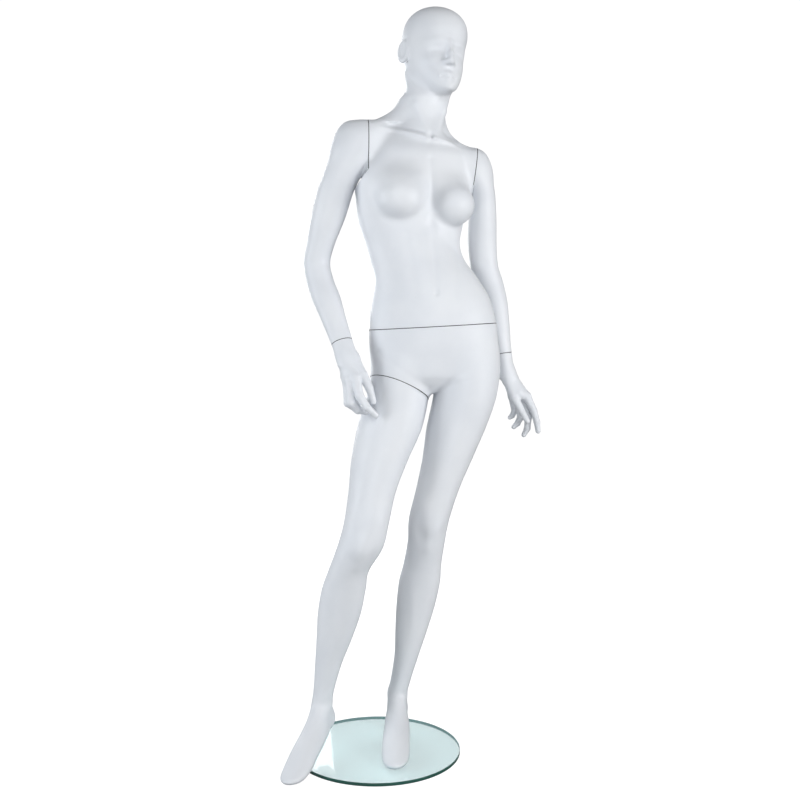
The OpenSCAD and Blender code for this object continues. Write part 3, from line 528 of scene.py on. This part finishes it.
def surface(shape, low, high, step, scale=None):
    """The shape's surface, closed at a box, as quads. scale, [[z, factor], ...], makes the grid finer."""
    step = step * COARSE
    low, high = np.array(low, float), np.array(high, float)
    middle = (low + high) / 2

    def field(p):
        return np.maximum(shape(p), np.maximum(low - p, p - high).max(1))

    heights, factors = [low[2] - 3 * step], []
    while heights[-1] < high[2] + 3 * step:
        s = 1.0 if scale is None else float(np.interp(heights[-1], *np.array(scale, float).T))
        factors.append(s)
        heights.append(heights[-1] + step * s)
    factors.append(factors[-1])
    heights, factors = np.array(heights), np.array(factors)
    smallest = factors.min()
    nx = int(math.ceil((high[0] - low[0]) / (step * smallest) / BLOCK) + 1) * BLOCK
    ny = int(math.ceil((high[1] - low[1]) / (step * smallest) / BLOCK) + 1) * BLOCK
    nz = int(math.ceil(len(heights) / BLOCK)) * BLOCK

    def place(g):
        k = np.arange(len(heights))
        z = np.interp(g[..., 2], k, heights)
        s = np.interp(g[..., 2], k, factors)
        return np.stack([middle[0] + (g[..., 0] - nx / 2) * step * s,
                         middle[1] + (g[..., 1] - ny / 2) * step * s, z], -1)

    blocks = np.stack(np.meshgrid(*(np.arange(n // BLOCK) for n in (nx, ny, nz)), indexing="ij"), -1).reshape(-1, 3)
    centres = place(blocks * BLOCK + BLOCK / 2.0)
    inside = np.all((centres > low - 30) & (centres < high + 30), axis=1)
    blocks, centres = blocks[inside], centres[inside]
    size = step * BLOCK * np.interp(centres[:, 2], heights, factors)
    near = np.abs(field(centres)) < size * 1.25 + 5
    blocks = blocks[near]
    local = np.stack(np.meshgrid(*(np.arange(BLOCK + 1),) * 3, indexing="ij"), -1).reshape(-1, 3)
    keys, points, links = [], [], []
    weight = np.array([KEY_BASE * KEY_BASE, KEY_BASE, 1], np.int64)
    n = BLOCK + 1
    for start in range(0, len(blocks), 500):
        some = blocks[start:start + 500]
        g = some[:, None, :] * BLOCK + local[None]
        v = field(place(g.astype(float)).reshape(-1, 3)).reshape(len(some), n, n, n)
        corner = np.stack([v[:, i:i + BLOCK, j:j + BLOCK, k:k + BLOCK] for i, j, k in CORNERS], -1)
        neg = corner < 0
        mixed = neg.any(-1) & ~neg.all(-1)
        b, i, j, k = np.nonzero(mixed)
        cell = some[b] * BLOCK + np.stack([i, j, k], 1)
        c = corner[b, i, j, k]
        total, count = np.zeros((len(c), 3)), np.zeros(len(c))
        for e in range(8):
            for axis in range(3):
                if CORNERS[e][axis] == 0:
                    f = e + (4, 2, 1)[axis]
                    crossing = (c[:, e] < 0) != (c[:, f] < 0)
                    t = np.where(crossing, c[:, e] / np.where(crossing, c[:, e] - c[:, f], 1), 0)
                    at = CORNERS[e][None].astype(float) + np.eye(3)[axis][None] * t[:, None]
                    total += at * crossing[:, None]
                    count += crossing
        keys.append(cell @ weight)
        points.append(place(cell + total / count[:, None]))
        for axis in range(3):
            f = (4, 2, 1)[axis]
            cut = (c[:, 0] < 0) != (c[:, f] < 0)
            links.append(np.concatenate([cell[cut], np.full((cut.sum(), 1), axis), (c[cut, 0] < 0)[:, None]], 1))
    keys, points, links = np.concatenate(keys), np.concatenate(points), np.concatenate(links)
    order = np.argsort(keys)
    keys, points = keys[order], points[order]
    eye = np.eye(3, dtype=np.int64)
    quads = []
    for axis in range(3):
        m = links[links[:, 3] == axis]
        b, c = eye[(axis + 1) % 3], eye[(axis + 2) % 3]
        cells = [m[:, :3] - b - c, m[:, :3] - c, m[:, :3], m[:, :3] - b]
        found, good = [], np.ones(len(m), bool)
        for q in cells:
            want = q @ weight
            at = np.minimum(np.searchsorted(keys, want), len(keys) - 1)
            good &= keys[at] == want
            found.append(at)
        quad = np.stack(found, 1)[good]
        flip = m[good, 4] == 0
        quad[flip] = quad[flip][:, ::-1]
        quads.append(quad)
    quads = np.concatenate(quads)
    points = settle(field, points, step * smallest, 2)
    edges = np.concatenate([quads[:, [0, 1]], quads[:, [1, 2]], quads[:, [2, 3]], quads[:, [3, 0]]])
    for _ in range(2):
        total = np.zeros_like(points)
        for axis in range(3):
            total[:, axis] = np.bincount(edges[:, 0], points[edges[:, 1], axis], len(points)) \
                + np.bincount(edges[:, 1], points[edges[:, 0], axis], len(points))
        count = np.bincount(edges.ravel(), minlength=len(points))
        points = 0.5 * points + 0.5 * total / np.maximum(count, 1)[:, None]
        points = settle(field, points, step * smallest, 1)
    return points, quads


def mesh_object(name, points, faces):
    me = bpy.data.meshes.new(name)
    me.from_pydata((points * MM).tolist(), [], faces.tolist() if hasattr(faces, "tolist") else faces)
    me.validate()
    me.shade_smooth()
    ob = bpy.data.objects.new(name, me)
    bpy.context.scene.collection.objects.link(ob)
    return ob


def convex(planes, middle, reach):
    """A cutter: a cube of half size reach about middle, kept on the + side of each plane."""
    bm = bmesh.new()
    bmesh.ops.create_cube(bm, size=2 * reach * MM, matrix=Matrix.Translation(Vector(middle) * MM))
    for point, normal in planes:
        cut = bmesh.ops.bisect_plane(
            bm, geom=bm.verts[:] + bm.edges[:] + bm.faces[:], plane_co=Vector(point) * MM,
            plane_no=Vector(normal), clear_inner=True, dist=1e-7)
        rim = [e for e in cut["geom_cut"] if isinstance(e, bmesh.types.BMEdge)]
        bmesh.ops.contextual_create(bm, geom=rim)
    bmesh.ops.recalc_face_normals(bm, faces=bm.faces[:])
    return cutter_object(bm)


def rod(point, direction, start, end, radius, sides=64):
    """A cutter: a cylinder along a direction."""
    direction = Vector(direction).normalized()
    middle = (Vector(point) + direction * (start + end) / 2) * MM
    bm = bmesh.new()
    bmesh.ops.create_cone(
        bm, cap_ends=True, segments=sides, radius1=radius * MM, radius2=radius * MM, depth=(end - start) * MM,
        matrix=Matrix.Translation(middle) @ direction.to_track_quat("Z", "Y").to_matrix().to_4x4())
    return cutter_object(bm)


def cutter_object(bm):
    me = bpy.data.meshes.new("cutter")
    bm.to_mesh(me)
    bm.free()
    ob = bpy.data.objects.new("cutter", me)
    bpy.context.scene.collection.objects.link(ob)
    return ob


def carve(ob, cutters):
    """Takes each cutter away from the object, with the slower exact solver where the first leaves it as it was."""
    for cutter in cutters:
        mod = ob.modifiers.new("cut", "BOOLEAN")
        mod.operation, mod.object, mod.solver = "DIFFERENCE", cutter, "MANIFOLD"
        me = bpy.data.meshes.new_from_object(ob.evaluated_get(bpy.context.evaluated_depsgraph_get()))
        if len(me.polygons) in (0, len(ob.data.polygons)):
            mod.solver = "EXACT"
            me = bpy.data.meshes.new_from_object(ob.evaluated_get(bpy.context.evaluated_depsgraph_get()))
        ob.modifiers.clear()
        old, ob.data = ob.data, me
        bpy.data.meshes.remove(old)
        ob.data.name = ob.name
        spare = cutter.data
        bpy.data.objects.remove(cutter)
        bpy.data.meshes.remove(spare)


def sharpen(ob, degrees=40):
    """Marks the edges of cut faces sharp and everything else smooth."""
    bm = bmesh.new()
    bm.from_mesh(ob.data)
    bmesh.ops.dissolve_degenerate(bm, edges=bm.edges[:], dist=2e-6)
    for f in bm.faces:
        f.smooth = True
    for e in bm.edges:
        e.smooth = not (len(e.link_faces) == 2 and e.calc_face_angle(0) > math.radians(degrees))
    bm.to_mesh(ob.data)
    bm.free()


# ---------------------------------------------------------------- cutters for the parting planes
def plate_r(stud):
    return 2.6 * stud + 4


def socket_recess(plane, stud):
    """Cutters for the seat of a socket plate and its cup, below the socket piece's face."""
    face = plane[0] - plane[1] * GAP
    cup = PLATE_T + 0.45 * stud + 3.5
    return [rod(face, -plane[1], -2, PLATE_T + 0.05, plate_r(stud) + 0.3),
            rod(face, -plane[1], 1, cup + 0.3, 1.6 * stud + 1.9)]


def peg_recess(plane, stud):
    return [rod(plane[0] + plane[1] * GAP, plane[1], -2, PLATE_T + 0.05, plate_r(stud) + 0.3)]


def outside(plane):
    """All that lies past a plane, from the socket piece's side."""
    return convex([(plane[0] - plane[1] * GAP, plane[1])], plane[0] + plane[1] * 10, CUTTER_REACH)


def inside(plane):
    return convex([(plane[0] + plane[1] * GAP, -plane[1])], plane[0] - plane[1] * 10, CUTTER_REACH)


def arm_room(shoulder, armpit):
    """The space that an arm takes from the torso."""
    slope = armpit_slope(shoulder)
    return convex([(shoulder[0] - shoulder[1] * GAP, shoulder[1]), (armpit - slope * GAP, slope)], shoulder[0], 250)


def wedge(shoulder, armpit):
    return [shoulder, (armpit, armpit_slope(shoulder))]


def flip(plane):
    return plane[0], -plane[1]


def room(p, cut):
    """How far points lie from the space that a cut takes away: one plane, or two for a wedge."""
    return np.max([-((p - point) @ normal) - GAP for point, normal in cut], axis=0)


def seam(ob, cut):
    """Eases the edge that a cut leaves, so the joint line shows as a fine dark groove."""
    bm = bmesh.new()
    bm.from_mesh(ob.data)
    for point, normal in cut:
        place = np.array([f.calc_center_median() for f in bm.faces]) / MM
        near = [f for f, r in zip(bm.faces, room(place, cut)) if r < SEAM_REACH]
        edges = list({e for f in near for e in f.edges})
        verts = list({v for f in near for v in f.verts})
        bmesh.ops.bisect_plane(bm, geom=verts + edges + near, plane_no=Vector(normal), dist=2e-6,
                               plane_co=Vector(point - normal * (GAP + SEAM_WIDTH)) * MM)
    bm.normal_update()
    place = np.array([v.co for v in bm.verts]) / MM
    depth = room(place, cut)
    deepest = np.argmax([-((place - point) @ normal) for point, normal in cut], axis=0)
    bm.verts.ensure_lookup_table()
    for n in np.nonzero((depth > -0.05) & (depth < SEAM_WIDTH))[0]:
        v = bm.verts[n]
        across = Vector(cut[deepest[n]][1])
        out = v.normal - across * v.normal.dot(across)
        if out.length > 1e-4:
            v.co -= out.normalized() * (SEAM_DEPTH * (1 - max(depth[n], 0) / SEAM_WIDTH) * MM)
    bm.to_mesh(ob.data)
    bm.free()


def build_torso():
    points, quads = surface(torso_field, (-80, -130, 995), (300, 190, 1830), 3.5,
                            [[1500, 1.0], [1560, 0.6], [1840, 0.6]])
    ob = mesh_object("torso_shell", points, quads)
    carve(ob, [inside(WAIST), arm_room(RIGHT_SHOULDER, RIGHT_ARMPIT), arm_room(LEFT_SHOULDER, LEFT_ARMPIT)])
    cuts = [([flip(WAIST)], plate_r(LARGE)), (wedge(RIGHT_SHOULDER, RIGHT_ARMPIT), plate_r(MEDIUM)),
            (wedge(LEFT_SHOULDER, LEFT_ARMPIT), plate_r(MEDIUM))]
    for cut, _ in cuts:
        seam(ob, cut)
    carve(ob, peg_recess(WAIST, LARGE) + socket_recess(RIGHT_SHOULDER, MEDIUM) + socket_recess(LEFT_SHOULDER, MEDIUM))
    return ob, cuts


def build_hips():
    points, quads = surface(hips_field, (-30, -165, 2), (310, 150, 1060), 2.9)
    ob = mesh_object("hips_left_leg_shell", points, quads)
    # past this plane the thigh's cut would reach the other leg
    fork = (np.array([132., 0, 868]), unit([-1, 0, 0.24]))
    thigh = convex([(THIGH[0] - THIGH[1] * GAP, THIGH[1]), fork], THIGH[0], 300)
    screw = (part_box("calf_grub_screw")[0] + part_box("calf_grub_screw")[1]) / 2
    screw = np.array(screw) / MM
    on_rod = ROD_FOOT + ROD_LEAN * ((screw - ROD_FOOT) @ ROD_LEAN)
    carve(ob, [outside(WAIST), thigh])
    cuts = [([WAIST], plate_r(LARGE)), ([THIGH, fork], plate_r(LARGE))]
    for cut, _ in cuts:
        seam(ob, cut)
    carve(ob, socket_recess(WAIST, LARGE) + socket_recess(THIGH, LARGE))
    # the rod's channel, its sleeve and the grub screw's hole
    carve(ob, [rod(ROD_FOOT, ROD_LEAN, 150, 395.3, 6.7, 48), rod(ROD_FOOT, ROD_LEAN, 287.8, 395.2, 9.7, 48),
               rod(on_rod, screw - on_rod, 8, 60, 2.9, 32)])
    return ob, cuts


def build_right_leg():
    points, quads = surface(right_leg_field, (-230, -260, 2), (150, 130, 940), 2.6)
    ob = mesh_object("right_leg_shell", points, quads)
    carve(ob, [inside(THIGH)])
    seam(ob, [flip(THIGH)])
    carve(ob, peg_recess(THIGH, LARGE))
    return ob, [([flip(THIGH)], plate_r(LARGE))]


def build_arm(side, shoulder, armpit, wrist, k, box):
    points, quads = surface(arm_field(side, shoulder, armpit, k), *box, 2.1)
    ob = mesh_object(side + "_arm_shell", points, quads)
    carve(ob, [inside(shoulder), outside(wrist)])
    cuts = [([flip(shoulder)], plate_r(MEDIUM)), ([wrist], plate_r(SMALL))]
    for cut, _ in cuts:
        seam(ob, cut)
    carve(ob, peg_recess(shoulder, MEDIUM) + socket_recess(wrist, SMALL))
    return ob, cuts


def build_hand(side, digits, heel, wrist, web, box):
    points, quads = surface(hand_field(side, digits, heel, 15, web), *box, 1.25)
    ob = mesh_object(side + "_hand_shell", points, quads)
    carve(ob, [inside(wrist)])
    seam(ob, [flip(wrist)])
    carve(ob, peg_recess(wrist, SMALL))
    return ob, [([flip(wrist)], plate_r(SMALL))]


def paint_shell(ob, cuts, materials):
    """Paint on the skin; dark unpainted moulding on the joint faces and in their recesses, where it also darkens the
    gaps between pieces as painted shade, and painted shade along the seam's groove.
    """
    ob.data.materials.clear()
    for m in materials:
        ob.data.materials.append(m)
    count = len(ob.data.polygons)
    place = np.empty(count * 3, np.float32)
    ob.data.polygons.foreach_get("center", place)
    place = place.reshape(-1, 3) / MM
    dark_or_shaded = np.zeros(count, bool)
    for cut, recess in cuts:
        deep = room(place, cut)
        point, normal = cut[0]
        # painted shade: the joint faces are unpainted moulding, and with the band along the seam's groove their dark
        # colour stands in for the shadow of the gap
        dark_or_shaded |= (deep > -1) & (deep < SEAM_WIDTH) & ((place - point) @ normal < DARK_FACE_REACH)
        q = place - point
        along = q @ normal
        aside = np.linalg.norm(q - along[:, None] * normal, axis=1)
        dark_or_shaded |= (np.abs(along) < RECESS_DEPTH) & (aside < recess + 1)
    ob.data.polygons.foreach_set("material_index", dark_or_shaded.astype(np.int32))


# ---------------------------------------------------------------- materials
def material(name, colour, roughness, metallic=0.0):
    m = bpy.data.materials.new(name)
    m.use_nodes = True
    b = m.node_tree.nodes["Principled BSDF"]
    b.inputs["Base Color"].default_value = (*colour, 1)
    b.inputs["Roughness"].default_value = roughness
    b.inputs["Metallic"].default_value = metallic
    return m, m.node_tree, b


def add(tree, kind, **values):
    n = tree.nodes.new(kind)
    for k, v in values.items():
        if k in n.inputs.keys():
            n.inputs[k].default_value = v
        else:
            setattr(n, k, v)
    return n


def noise(tree, coords, scale, detail=3.0, rough=0.5):
    n = add(tree, "ShaderNodeTexNoise", Scale=scale, Detail=detail, Roughness=rough)
    tree.links.new(coords, n.inputs["Vector"])
    return n.outputs["Fac"]


def spread(tree, fac, low, high, to_low, to_high):
    n = add(tree, "ShaderNodeMapRange")
    for k, v in zip(("From Min", "From Max", "To Min", "To Max"), (low, high, to_low, to_high)):
        n.inputs[k].default_value = v
    tree.links.new(fac, n.inputs["Value"])
    return n.outputs["Result"]


def tint(tree, fac, a, b):
    n = add(tree, "ShaderNodeMix", data_type="RGBA")
    n.inputs[6].default_value, n.inputs[7].default_value = (*a, 1), (*b, 1)
    tree.links.new(fac, n.inputs[0])
    return n.outputs[2]


def shell_paint():
    """Sprayed satin white over a moulded shell: faint mottle, fine orange peel, a few specks."""
    m, t, b = material("shell_paint", (0.83, 0.84, 0.86), 0.5)
    at = add(t, "ShaderNodeTexCoord").outputs["Object"]
    mottle = noise(t, at, 9, 4)
    speck = noise(t, at, 420, 1, 0.4)
    base = tint(t, spread(t, mottle, 0.35, 0.65, 0, 1), (0.69, 0.715, 0.755), (0.73, 0.752, 0.785))
    dust = add(t, "ShaderNodeMix", data_type="RGBA")
    t.links.new(spread(t, speck, 0.80, 0.84, 0, 0.5), dust.inputs[0])
    t.links.new(base, dust.inputs[6])
    dust.inputs[7].default_value = (0.45, 0.44, 0.42, 1)
    t.links.new(dust.outputs[2], b.inputs["Base Color"])
    t.links.new(spread(t, noise(t, at, 30, 3), 0.3, 0.7, 0.42, 0.56), b.inputs["Roughness"])
    peel = add(t, "ShaderNodeBump", Strength=0.06, Distance=0.0006)
    t.links.new(noise(t, at, 650, 2), peel.inputs["Height"])
    t.links.new(peel.outputs["Normal"], b.inputs["Normal"])
    b.inputs["Specular IOR Level"].default_value = 0.42
    return m


def moulding_and_seam_shade():
    """Unpainted glass-fibre moulding: dark grey, rough, with the fibres showing faintly. On the joint faces it is the
    real unpainted moulding and also painted shade for the gaps between pieces; along the seam's groove it is painted
    shade.
    """
    m, t, b = material("moulding_and_seam_shade", (0.06, 0.06, 0.062), 0.85)
    at = add(t, "ShaderNodeTexCoord").outputs["Object"]
    fibres = noise(t, at, 260, 5, 0.7)
    t.links.new(tint(t, fibres, (0.035, 0.035, 0.037), (0.09, 0.09, 0.092)), b.inputs["Base Color"])
    bump = add(t, "ShaderNodeBump", Strength=0.3, Distance=0.0003)
    t.links.new(fibres, bump.inputs["Height"])
    t.links.new(bump.outputs["Normal"], b.inputs["Normal"])
    return m


def steel(name, colour, rough, grain):
    """Turned or drawn metal; grain stretches the fine lines."""
    m, t, b = material(name, colour, rough, 1.0)
    at = add(t, "ShaderNodeTexCoord").outputs["Object"]
    stretch = add(t, "ShaderNodeMapping")
    stretch.inputs["Scale"].default_value = grain
    t.links.new(at, stretch.inputs["Vector"])
    lines = noise(t, stretch.outputs["Vector"], 60, 4, 0.6)
    t.links.new(spread(t, lines, 0.3, 0.7, rough * 0.75, rough * 1.35), b.inputs["Roughness"])
    dark = tuple(c * 0.82 for c in colour)
    t.links.new(tint(t, spread(t, noise(t, at, 40, 3), 0.35, 0.7, 0, 1), dark, colour), b.inputs["Base Color"])
    bump = add(t, "ShaderNodeBump", Strength=0.15, Distance=0.0002)
    t.links.new(lines, bump.inputs["Height"])
    t.links.new(bump.outputs["Normal"], b.inputs["Normal"])
    return m


def rubber():
    m, t, b = material("gasket_rubber", (0.02, 0.02, 0.021), 0.75)
    at = add(t, "ShaderNodeTexCoord").outputs["Object"]
    t.links.new(tint(t, noise(t, at, 120, 4), (0.015, 0.015, 0.016), (0.04, 0.04, 0.042)), b.inputs["Base Color"])
    bump = add(t, "ShaderNodeBump", Strength=0.3, Distance=0.0003)
    t.links.new(noise(t, at, 900, 2), bump.inputs["Height"])
    t.links.new(bump.outputs["Normal"], b.inputs["Normal"])
    return m


def glass(name, light, dark, alpha, rough):
    """Clear glass as a tinted, partly see-through gloss, which the export keeps."""
    m, t, b = material(name, light, rough)
    at = add(t, "ShaderNodeTexCoord").outputs["Object"]
    t.links.new(tint(t, spread(t, noise(t, at, 6, 2), 0.3, 0.7, 0, 1), light, dark), b.inputs["Base Color"])
    t.links.new(spread(t, noise(t, at, 22, 4), 0.3, 0.75, rough, rough * 2.2), b.inputs["Roughness"])
    b.inputs["Alpha"].default_value = alpha
    b.inputs["IOR"].default_value = 1.52
    m.surface_render_method = "BLENDED"
    return m


def floor_paint():
    """Pale studio floor. It glows for the camera only, so it throws little light on the figure."""
    m, t, b = material("floor_white", (0.5, 0.5, 0.5), 0.8)
    at = add(t, "ShaderNodeTexCoord").outputs["Object"]
    t.links.new(tint(t, noise(t, at, 1.5, 3), (0.33, 0.332, 0.337), (0.36, 0.362, 0.365)), b.inputs["Base Color"])
    far = add(t, "ShaderNodeVectorMath", operation="LENGTH")
    t.links.new(at, far.inputs[0])
    glow = add(t, "ShaderNodeMath", operation="MULTIPLY")
    # painted light: the glow rises from 0.9 near the middle to 1.05 beyond 2.6 m, so the distant floor is as white as
    # the backdrop
    t.links.new(spread(t, far.outputs["Value"], 0.5, 2.6, 0.90, 1.05), glow.inputs[0])
    t.links.new(add(t, "ShaderNodeLightPath").outputs["Is Camera Ray"], glow.inputs[1])
    t.links.new(glow.outputs[0], b.inputs["Emission Strength"])
    b.inputs["Emission Color"].default_value = (1, 1, 1, 1)
    b.inputs["Specular IOR Level"].default_value = 0.1
    return m


# ---------------------------------------------------------------- the glass disc
def build_disc():
    """The base's glass: a turned profile with eased edges and the bolt's hole."""
    low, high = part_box("glass_base")
    radius, thick, ease = (high.x - low.x) / 2, high.z - low.z, 0.0012
    profile = [(0.0, 0.0), (radius * 0.6, 0.0)]
    for k in range(7):
        a = math.radians(-90 + 15 * k)
        profile.append((radius - ease + ease * math.cos(a), ease + ease * math.sin(a)))
    for k in range(7):
        a = math.radians(15 * k)
        profile.append((radius - ease + ease * math.cos(a), thick - ease + ease * math.sin(a)))
    profile += [(radius * 0.6, thick), (0.0, thick)]
    bm = bmesh.new()
    sides = 256
    rings = []
    for r, z in profile:
        if r == 0:
            rings.append([bm.verts.new((0, 0, z))])
        else:
            rings.append([bm.verts.new((r * math.cos(math.tau * k / sides), r * math.sin(math.tau * k / sides), z))
                          for k in range(sides)])
    for a, b in zip(rings, rings[1:]):
        for k in range(sides):
            n = (k + 1) % sides
            if len(a) == 1:
                bm.faces.new((a[0], b[n], b[k]))
            elif len(b) == 1:
                bm.faces.new((a[k], a[n], b[0]))
            else:
                bm.faces.new((a[k], a[n], b[n], b[k]))
    bmesh.ops.recalc_face_normals(bm, faces=bm.faces[:])
    me = bpy.data.meshes.new("glass_disc")
    bm.to_mesh(me)
    bm.free()
    ob = bpy.data.objects.new("glass_disc", me)
    bpy.context.scene.collection.objects.link(ob)
    ob.location.z = low.z
    hole = Vector((ROD_FOOT[0], ROD_FOOT[1], 0))
    # the bolt's shank and the pocket for its head
    carve(ob, [rod(hole, (0, 0, 1), -5, 20, 5.6, 48), rod(hole, (0, 0, 1), -5, 3.5, 11.5, 48)])
    return ob


# ---------------------------------------------------------------- putting it together
def build():
    # the second look is the dark moulding, which also paints the shade in the seams and the gaps between pieces
    shell_looks = (shell_paint(), moulding_and_seam_shade())
    made = {
        "torso_head": (build_torso(), "torso"),
        "hips_left_leg": (build_hips(), "lower_body"),
        "right_leg": (build_right_leg(), "lower_body"),
        "right_arm": (build_arm("right", RIGHT_SHOULDER, RIGHT_ARMPIT, RIGHT_WRIST, 24,
                                ((-210, -110, 950), (30, 110, 1540))), "right_arm"),
        "left_arm": (build_arm("left", LEFT_SHOULDER, LEFT_ARMPIT, LEFT_WRIST, 20,
                               ((190, 20, 930), (360, 170, 1490))), "left_arm"),
        "right_hand": (build_hand("right", RIGHT_DIGITS, RIGHT_HEEL, RIGHT_WRIST, (),
                                  ((-125, -135, 795), (25, -15, 1012))), "right_hand"),
        "left_hand": (build_hand("left", LEFT_DIGITS, LEFT_HEEL, LEFT_WRIST, LEFT_WEB,
                                 ((280, 30, 735), (420, 140, 985))), "left_hand")}
    for node, ((ob, cuts), body) in made.items():
        sharpen(ob)
        paint_shell(ob, cuts, shell_looks)
        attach(ob, body)
        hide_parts(node)
    disc = build_disc()
    face = glass("glass_face", (0.50, 0.86, 0.89), (0.56, 0.90, 0.93), 0.34, 0.03)
    rim = glass("glass_rim", (0.003, 0.05, 0.036), (0.006, 0.085, 0.065), 0.98, 0.12)
    disc.data.materials.clear()
    disc.data.materials.append(face)
    disc.data.materials.append(rim)
    for f in disc.data.polygons:
        f.use_smooth = abs(f.normal.z) < 0.999
        f.material_index = 1 if abs(f.normal.z) < 0.8 else 0
    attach(disc, "base")
    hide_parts("glass_base")


def dress_fittings():
    """The steel, chrome and rubber pieces keep their own shapes."""
    looks = {
        "steel": steel("plate_steel", (0.60, 0.61, 0.63), 0.32, (1, 1, 14)),
        "rod_steel": steel("rod_chrome", (0.78, 0.79, 0.81), 0.12, (1, 1, 0.2)),
        "fastener": steel("fastener_zinc", (0.42, 0.43, 0.45), 0.36, (3, 3, 3)),
        "gasket": rubber()}
    shown = {s["node"]: s["material_slot"] for s in frame["record"]["subparts"]}
    for node, slot in shown.items():
        if slot in looks:
            ob = frame["nodes"][node]
            for s in ob.material_slots:
                s.material = looks[slot]


def stage():
    """The floor, the pale room and the soft boxes of light."""
    side, low = 9000, -0.6
    corners = np.array([[-side, -side, low], [side, -side, low], [side, side, low], [-side, side, low]])
    floor = mesh_object("floor", corners, [(0, 1, 2, 3)])
    floor.data.materials.append(floor_paint())
    world = bpy.data.worlds.new("studio")
    bpy.context.scene.world = world
    world.use_nodes = True
    t = world.node_tree
    back = t.nodes["Background"]
    back.inputs["Color"].default_value = (1, 1, 1, 1)
    way = add(t, "ShaderNodeSeparateXYZ")
    t.links.new(add(t, "ShaderNodeTexCoord").outputs["Generated"], way.inputs[0])
    light = spread(t, way.outputs["Z"], -0.1, 0.9, 0.36, 0.10)
    seen = add(t, "ShaderNodeMix", data_type="FLOAT")
    t.links.new(add(t, "ShaderNodeLightPath").outputs["Is Camera Ray"], seen.inputs[0])
    t.links.new(light, seen.inputs[2])
    seen.inputs[3].default_value = 1.05
    t.links.new(seen.outputs[0], back.inputs["Strength"])
    lamp("right_box", (3.0, -1.7, 1.3), (0.1, 0, 0.8), (1.3, 2.2), 64, (1, 0.995, 0.985))
    lamp("left_box", (-3.1, -0.9, 1.3), (0.1, 0, 0.8), (1.3, 2.2), 57, (0.93, 0.965, 1))
    lamp("front_box", (0.8, -3.0, 2.5), (0.1, 0, 0.5), (1.4, 1.4), 35, (0.97, 0.985, 1))
    lamp("low_box", (-0.3, -2.6, 0.55), (0, 0, 0.45), (0.9, 0.9), 13, (0.98, 0.99, 1))
    lamp("rear_box", (-1.2, 2.9, 1.9), (0.1, 0, 1.0), (2.0, 2.0), 66, (1, 1, 1))


def lamp(name, at, to, size, power, colour):
    light = bpy.data.lights.new(name, "AREA")
    light.shape, light.energy, light.color = "RECTANGLE", power, colour
    light.size, light.size_y = size
    ob = bpy.data.objects.new(name, light)
    ob.location = at
    ob.rotation_euler = (Vector(to) - Vector(at)).to_track_quat("-Z", "Y").to_euler()
    bpy.context.scene.collection.objects.link(ob)


def camera():
    """The photograph's viewpoint, at belly height and almost level."""
    sensor, frame_px, focal_px = 36, 800, 985.9
    data = bpy.data.cameras.new("camera")
    data.sensor_width = sensor
    data.lens = focal_px / frame_px * sensor
    data.shift_y = -0.05
    ob = bpy.data.objects.new("camera", data)
    ob.location = (0.0555, -2.3742, 0.9667)
    ob.rotation_euler = (math.radians(90 - 0.5616), 0, 0)
    bpy.context.scene.collection.objects.link(ob)
    bpy.context.scene.camera = ob


camera()
build()
dress_fittings()
stage()
bpy.context.scene.view_settings.view_transform = "Standard"
